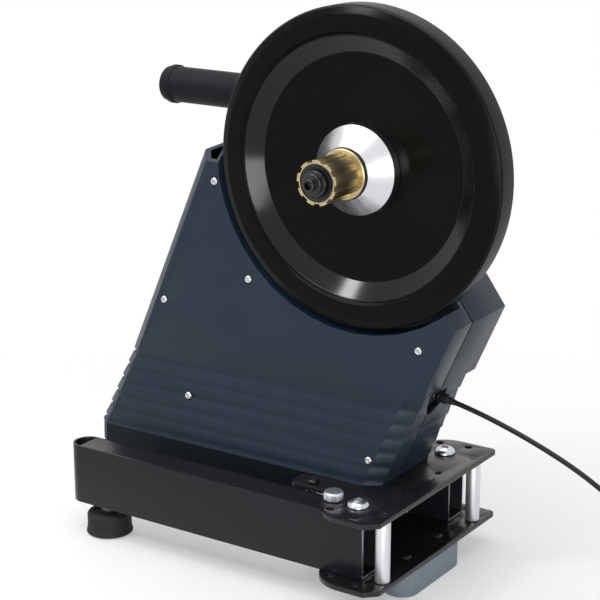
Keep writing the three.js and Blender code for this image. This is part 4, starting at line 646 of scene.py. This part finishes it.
# Flywheel: cast iron, painted gloss black, with one smooth bevelled band round the face.
# It sits on the hub's seat and is bolted from behind. Its rim is less glossy than its face.
wheel_radius = 125
wheel_bore_radius = 35.3
wheel_face_y, wheel_web_back_y, wheel_back_y = 7.8, 13.8, 19.6
band_inner_radius, band_outer_radius = 89, 102.4
band_back_y = 0.009
rim_from_radius, rim_from_y = 123, 0.017
wheel_front = [(88.6, wheel_face_y), (89.2, 7.6), (101.8, -0.5), (102.2, -0.9), (103.3, -1.2),
               (103.6, -1.4), (105.2, -3.3), (105.8, -3.4), (118, -2.5), (123.6, -0.2),
               (wheel_radius, 1.2)]


def flywheel_paint(name, colour, rough, shine):
    """Smooth black paint that still shows the turning lines under it."""
    made = turned_material(name, colour, rough, axle_centre, vary=0.05, lines=1500, bump=0.05)
    shader = made.node_tree.nodes["Principled BSDF"]
    shader.inputs["Metallic"].default_value = 0
    shader.inputs["Specular IOR Level"].default_value = shine
    return made


def from_axle(face):
    """How far a face's middle lies from the axle's line, in millimetres."""
    return math.hypot(face.center.x - axle_centre.x, face.center.z - axle_centre.z) * 1000


gloss = flywheel_paint("flywheel_gloss", (0.002, 0.002, 0.002), 0.2, 0.08)
rim_paint = flywheel_paint("flywheel_rim", (0.004, 0.004, 0.0045), 0.36, 0.14)
band_paint = flywheel_paint("flywheel_band", (0.002, 0.002, 0.0025), 0.13, 0.30)
wheel = spun("flywheel_skin", "y", 0, 0, [(wheel_bore_radius, wheel_face_y)] + wheel_front + [
    (wheel_radius, 18.4), (123.8, wheel_back_y), (76, wheel_back_y), (73, wheel_web_back_y),
    (wheel_bore_radius, wheel_web_back_y), (wheel_bore_radius, wheel_face_y)], gloss,
    "flywheel_set", "flywheel", ["flywheel"], steps=192, ease=0.3)
painted(wheel, band_paint, lambda face: band_inner_radius < from_axle(face) < band_outer_radius
        and face.center.y - axle_centre.y < band_back_y)
painted(wheel, rim_paint, lambda face: from_axle(face) > rim_from_radius
        or face.center.y - axle_centre.y > rim_from_y)

# Hub: turned aluminium, with a conical nose, a seat for the flywheel and a bolt flange.
# Its nose hides the ratchet teeth that the pawls drive.
nose_bore_radius, nose_radius, nose_seat_radius = 15.4, 19.7, 35.05
nose_front_y = -14
hub_metal = turned_material("hub_aluminium", (0.68, 0.69, 0.71), 0.24, axle_centre, bump=0.1)
dressed("flywheel_hub_back", "flywheel_hub", hub_metal, "flywheel_set", edge=0.15,
        sharp=0.75)
spun("flywheel_hub_nose", "y", 0, 0, [
    (nose_bore_radius, nose_front_y), (nose_radius - 0.4, nose_front_y), (nose_radius, -13.8),
    (26.2, -7.6), (nose_seat_radius, -1.1), (nose_seat_radius, 7.6), (35.0, 7.6), (34.9, 6),
    (nose_bore_radius, -8), (nose_bore_radius, nose_front_y)], hub_metal, "flywheel_set", "hub",
    [], steps=128, ease=0.2)
for i in (1, 2, 3):
    dressed(f"flywheel_bolt_{i}_skin", f"flywheel_bolt_{i}", zinc, "flywheel_set",
            edge=0.2, sharp=0.75)
for node in ("near_hub_bearing", "far_hub_bearing"):
    dressed(node + "_skin", node, zinc, "flywheel_set", edge=0.3, sharp=0.75)

# Freehub: gold anodised aluminium with nine splines, a rear flange and a black seal.
# It turns on two bearings, and its pawls drive the hub one way. Its mouth is painted black as
# painted shade.
spline_count, spline_share = 9, 0.56
spline_radius, spline_root_radius = 17.3, 15.6
freehub_front_y, freehub_flange_y, freehub_back_y = -54.2, -19, -16.5
mouth_radius, mouth_floor_y = 14.5, -53.0
freehub_bore_radius, freehub_waist_radius, freehub_neck_radius = 12.25, 8.8, 12
flange_radius, neck_end_y = 19.7, -4.5
seal_radius, seal_bore_radius, seal_front_y, seal_back_y = 20.4, 12.4, -16.2, -14.3
bearing_bore_radius, bearing_radius, bearing_width = 6.2, 12, 7
gold = turned_material("gold_anodised", (0.52, 0.43, 0.25), 0.32, axle_centre, bump=0.05)
step = 360 / spline_count
splines = []
for i in range(spline_count):
    splines += arc(0, 0, spline_radius, i * step, (i + spline_share) * step, 6)
    splines += arc(0, 0, spline_root_radius, (i + spline_share + 0.01) * step,
                   (i + 0.99) * step, 6)
bm = slab_mesh("y", splines, [(0, 0, mouth_radius)], freehub_front_y, freehub_flange_y, 0.25)
add_mesh(bm, spun_mesh("y", 0, 0, [
    (freehub_bore_radius, mouth_floor_y), (mouth_radius + 0.1, mouth_floor_y),
    (mouth_radius + 0.1, freehub_flange_y), (18.9, freehub_flange_y), (flange_radius, -18.4),
    (flange_radius, freehub_back_y), (freehub_neck_radius, freehub_back_y),
    (freehub_neck_radius, neck_end_y), (freehub_waist_radius, neck_end_y),
    (freehub_waist_radius, freehub_flange_y), (freehub_bore_radius, freehub_flange_y),
    (freehub_bore_radius, mouth_floor_y)], steps=96, ease=0.1))
freehub = place_piece(finished("freehub_body_skin", bm), "freehub_set",
                      ["freehub_body"], gold)
# The mouth's wall and floor are painted black: painted shade in the recess, not the metal's
# colour.
painted(freehub, cap_black_and_mouth_shade, lambda face: from_axle(face) < mouth_radius + 0.05
        and face.center.y < spot(0, mouth_floor_y + 0.5, 0).y)
spun("hub_seal_skin", "y", 0, 0, [
    (seal_bore_radius, seal_front_y), (19.8, seal_front_y), (seal_radius, -15.8),
    (seal_radius, -14.8), (19.9, seal_back_y), (seal_bore_radius, seal_back_y),
    (seal_bore_radius, seal_front_y)], rubber_black, "freehub_set", "rubber", ["hub_seal"],
    steps=96, ease=0.2)
steel_dark = material("steel_dark", (0.3, 0.31, 0.33), 0.35, metal=1.0, bump=0.06)
for node in ("pawl_1", "pawl_2"):
    dressed(node + "_skin", node, steel_dark, "freehub_set", edge=0.2)
shield = material("bearing_shield", (0.02, 0.02, 0.022), 0.35, metal=0.6, bump=0.04)
for node, front in (("near_freehub_bearing", -53.6), ("far_freehub_bearing", -26)):
    spun(node + "_skin", "y", 0, 0, [
        (bearing_bore_radius, front), (7.6, front), (7.8, front + 0.5), (10.4, front + 0.5),
        (10.6, front), (bearing_radius, front), (bearing_radius, front + bearing_width),
        (bearing_bore_radius, front + bearing_width), (bearing_bore_radius, front)], shield,
        "freehub_set", "zinc", [node], steps=72, ease=0.15)

# Handle: a steel tube clamped in the frame, with a black rubber grip slid over its end.
# The grip is smooth, and has a raised ring near its rounded end.
handle_y, handle_z = 50.5, 39.3
grip_radius, grip_ring_radius, grip_bore_radius = 14.8, 16.1, 11.4
grip_end_x, grip_front_x, grip_floor_x = -217.6, -95, -213
dressed("handle_tube_skin", "handle_tube", enamel, "stand", edge=0.2, sharp=0.75)
grip_rubber = material("grip_rubber", (0.006, 0.007, 0.009), 0.5, bump=0.15, grain=1500,
                       shine=0.12)
spun("handle_grip_skin", "x", handle_y, handle_z, [
    (0, grip_end_x), (9.5, grip_end_x), (12.6, -217), (14.3, -215.4), (grip_radius, -213.6),
    (grip_radius, -212), (15.2, -211), (grip_ring_radius, -210.4), (grip_ring_radius, -206),
    (15.2, -205.2), (grip_radius, -203.4), (grip_radius, -102), (15.8, -99),
    (15.8, grip_front_x), (grip_bore_radius, grip_front_x), (grip_bore_radius, grip_floor_x),
    (0, grip_floor_x)], grip_rubber, "stand", "grip", ["handle_grip"], steps=96, ease=0.9)

# Magnet brake: magnets on a steel carrier, which a lead screw moves towards the flywheel.
# The motor behind the frame turns the screw.
dressed("magnet_carrier_skin", "magnet_carrier", frame_paint, "brake", edge=0.3)
magnet_metal = material("magnet_nickel", (0.5, 0.5, 0.52), 0.3, metal=1.0, bump=0.04)
dressed("brake_magnet_skin", "brake_magnet", magnet_metal, "brake", edge=0.3)
brass = material("brass", (0.55, 0.42, 0.18), 0.3, metal=1.0, bump=0.05)
dressed("lead_screw_skin", "lead_screw", brass, "brake_screw", edge=0.2, sharp=0.75)
dressed("brake_motor_skin", "brake_motor", steel_dark, "stand", edge=0.4,
        sharp=0.75)

# Shells: two moulded halves in navy plastic with a fine grain, closed by six zinc screws.
# The near half has the flywheel's well. A tongue of the far half fills the parting line.
# Ribs run round the foot of both, over a belly painted darker as painted shade from the legs.
shell_depth = 82
near_parting_y, far_parting_y = 28.85, 29.15
parting_gap = 0.0016
tongue_inset, tongue_length = 0.0008, 0.0019
rib_top_z, rib_pitch, rib_count = -183.9, 12.4, 6
rib_flare, rib_height = 9, 67.8
groove_height, groove_depth = 3.4, 0.9
shell_left_x, shell_left_slope, shell_left_z = -148, 0.436, -2.3
shell_end_x, shell_end_slope, shell_end_z = 59, 0.421, -176
left_bevel, end_bevel, side_bevel = 10.1, 13.3, 9
belly_z, belly_drop = -271.5, 0.003
painted_shade_top_z = -252.5
screw_radius, screw_length = 1.5, 40
screw_head_radius, screw_socket_radius = 3.3, 1.36
panel_seat, lower_rib_seat, last_rib_seat = 1.1, -2.56, -5.0
screw_places = [(-133.4, -25.4, panel_seat), (-186.9, -132.8, panel_seat),
                (-100.7, -101.9, panel_seat), (-160.4, -211.5, lower_rib_seat),
                (57.7, -134.1, panel_seat), (18, -230, last_rib_seat)]
navy = material("shell_navy", (0.009, 0.019, 0.032), 0.40, vary=0.04, bump=0.16, grain=1800,
                scale=25, shine=0.27)
# A darker navy: painted shade for the belly, which lies in the legs' shadow.
painted_belly_shade = material("shell_painted_belly_shade", (0.003, 0.009, 0.016), 0.5, shine=0.04)


def body_outline(z, inset):
    """The outline of the ribbed foot at one height, drawn in by inset."""
    front = -rib_flare * max(0, (rib_top_z - z) / rib_height) + inset
    back = shell_depth - inset
    left = shell_left_x - shell_left_slope * (shell_left_z - z) + inset
    end = shell_end_x - shell_end_slope * (shell_end_z - z) - inset
    return [(left + left_bevel, front), (end - end_bevel, front), (end, front + side_bevel),
            (end, back - side_bevel), (end - end_bevel, back), (left + left_bevel, back),
            (left, back - side_bevel), (left, front + side_bevel)]


def add_tongue(bm):
    """Pulls a thin tongue out of the far half's edge, into the parting line."""
    edge_y = spot(0, far_parting_y, 0).y
    rim = [f for f in bm.faces if all(abs(v.co.y - edge_y) < 1e-5 for v in f.verts)]
    if rim:
        bmesh.ops.inset_region(bm, faces=rim, thickness=tongue_inset, use_even_offset=True)
        pulled = bmesh.ops.extrude_face_region(bm, geom=rim)["geom"]
        bmesh.ops.delete(bm, geom=rim, context="FACES")
        tip = [item for item in pulled if isinstance(item, bmesh.types.BMVert)]
        bmesh.ops.translate(bm, verts=tip, vec=(0, -tongue_length, 0))


def ribbed(bm):
    """Cuts the grooves between the ribs, opens the parting line and deepens the belly."""
    grooves = []
    for i in range(rib_count):
        top = rib_top_z - rib_pitch * i
        grooves.append(slab_mesh("z", body_outline(top, -4), [], top - groove_height, top - 0.02,
                                 0, window=body_outline(top - 1, groove_depth)))
    bm = carved(bm, grooves)
    made_flat(bm)
    for vert in bm.verts:
        if abs(vert.co.y - spot(0, near_parting_y, 0).y) < 1e-4:
            vert.co.y -= parting_gap
        if vert.co.z < spot(0, 0, belly_z).z:
            vert.co.z -= belly_drop
    add_tongue(bm)
    return bm


for node in ("near_shell", "far_shell"):
    half = dressed(node + "_skin", node, navy, "stand", edge=0.5, sharp=0.24,
                   shaped=ribbed)
    # The belly's darker navy is painted shade, for the shadow between the legs and the shell.
    painted(half, painted_belly_shade, lambda face: face.center.z <= spot(0, 0, painted_shade_top_z).z)
screw_zinc = material("shell_screw_zinc", (0.56, 0.58, 0.6), 0.3, metal=1.0, bump=0.04)
for i, (x, z, seat) in enumerate(screw_places):
    spun(f"shell_screw_{i + 1}_skin", "y", x, z, [
        (0, seat + screw_length), (screw_radius, seat + screw_length), (screw_radius, seat),
        (screw_head_radius, seat), (screw_head_radius, seat - 1.2), (2.5, seat - 2.05),
        (1.35, seat - 2.1), (1.3, seat - 0.7), (0, seat - 0.6)], screw_zinc, "stand",
        "shell_screws", [f"shell_screw_{i + 1}"], steps=48, ease=0.25,
        socket=screw_socket_radius)

# Control board: green board with its chips soldered on one face.
# It snaps onto four pegs of the far shell.
board_green = material("board_green", (0.02, 0.14, 0.06), 0.35, vary=0.25, scale=400)
dressed("control_board_skin", "control_board", board_green, "stand", edge=0.1)

# Connector tray: black moulding behind the recess in the end wall, with an empty socket.
# The power jack is a nickel plated barrel that leans with the tray.
jack_back_x, jack_floor_x, jack_mouth_x = 40.4, 42.4, 53.4
jack_radius, jack_bore_radius = 3.9, 2.9
dressed("connector_tray_skin", "connector_tray", black_plastic, "stand",
        edge=0.12)
nickel = material("nickel", (0.55, 0.55, 0.56), 0.2, metal=1.0, bump=0.02)
jack = spun("power_jack_skin", "x", plug_y, plug_z, [
    (0, jack_back_x), (jack_radius, jack_back_x), (jack_radius, jack_mouth_x),
    (jack_bore_radius, jack_mouth_x), (jack_bore_radius, jack_floor_x), (0, jack_floor_x)],
    nickel, "stand", "black_plastic", ["power_jack"], steps=48, ease=0.3)
leaned(jack)

# Studio: pale floor and soft light from above and from both sides.
# The camera sees plain white behind the object.
floor_reach, floor_drop = 6.0, 0.0004
fade_near, fade_far, fade_share = 0.22, 0.6, 0.35


def seen_rays(nodes, links):
    """Camera, glossy and transmission rays, which all see the white background."""
    path = nodes.new("ShaderNodeLightPath")
    total = path.outputs["Is Camera Ray"]
    for kind in ("Is Glossy Ray", "Is Transmission Ray"):
        most = nodes.new("ShaderNodeMath")
        most.operation = "MAXIMUM"
        links.new(total, most.inputs[0])
        links.new(path.outputs[kind], most.inputs[1])
        total = most.outputs[0]
    return total


bm = bmesh.new()
bmesh.ops.create_grid(bm, x_segments=1, y_segments=1, size=floor_reach,
                      matrix=Matrix.Translation((0, 0, -floor_drop)))
floor_mesh = bpy.data.meshes.new("floor")
bm.to_mesh(floor_mesh)
bm.free()
floor = bpy.data.objects.new("floor", floor_mesh)
bpy.context.scene.collection.objects.link(floor)
pale = bpy.data.materials.new("floor_pale")
pale.use_nodes = True
nodes, links = pale.node_tree.nodes, pale.node_tree.links
shader = nodes["Principled BSDF"]
shader.inputs["Base Color"].default_value = (0.9, 0.9, 0.9, 1)
shader.inputs["Roughness"].default_value = 0.5
shader.inputs["Specular IOR Level"].default_value = 0.2
place = nodes.new("ShaderNodeTexCoord")
far = nodes.new("ShaderNodeVectorMath")
far.operation = "LENGTH"
links.new(place.outputs["Object"], far.inputs[0])
fade = nodes.new("ShaderNodeMapRange")
fade.inputs["From Min"].default_value = fade_near
fade.inputs["From Max"].default_value = fade_far
fade.inputs["To Min"].default_value = fade_share
links.new(far.outputs["Value"], fade.inputs["Value"])
share = nodes.new("ShaderNodeMath")
share.operation = "MULTIPLY"
links.new(fade.outputs["Result"], share.inputs[0])
links.new(seen_rays(nodes, links), share.inputs[1])
white = nodes.new("ShaderNodeEmission")
mix = nodes.new("ShaderNodeMixShader")
links.new(share.outputs[0], mix.inputs["Fac"])
links.new(shader.outputs[0], mix.inputs[1])
links.new(white.outputs[0], mix.inputs[2])
links.new(mix.outputs[0], nodes["Material Output"].inputs["Surface"])
floor_mesh.materials.append(pale)

world = bpy.data.worlds.new("world")
world.use_nodes = True
bpy.context.scene.world = world
nodes, links = world.node_tree.nodes, world.node_tree.links
sky = nodes["Background"]
sky.inputs["Color"].default_value = (0.75, 0.77, 0.8, 1)
sky.inputs["Strength"].default_value = 0.6
plain = nodes.new("ShaderNodeBackground")
plain.inputs["Color"].default_value = (1, 1, 1, 1)
mix = nodes.new("ShaderNodeMixShader")
links.new(seen_rays(nodes, links), mix.inputs["Fac"])
links.new(sky.outputs[0], mix.inputs[1])
links.new(plain.outputs[0], mix.inputs[2])
links.new(mix.outputs[0], nodes["World Output"].inputs["Surface"])


def softbox(name, at, target, width, height, power):
    """An oblong lamp that faces its target."""
    data = bpy.data.lights.new(name, "AREA")
    data.shape = "RECTANGLE"
    data.size, data.size_y, data.energy = width, height, power
    lamp = bpy.data.objects.new(name, data)
    lamp.location = at
    way = Vector(target) - Vector(at)
    lamp.rotation_euler = way.to_track_quat("-Z", "Y").to_euler()
    bpy.context.scene.collection.objects.link(lamp)


softbox("top_light", (-0.2, -0.2, 1.7), (0, 0, 0.2), 1.6, 1.6, 20)
softbox("left_light", (-0.79, -1.2, 1.53), (0.07, 0, 0.33), 0.24, 0.5, 9)
softbox("right_light", (1.1, -1.5, 0.3), (0.1, 0, 0.2), 0.7, 0.9, 14)
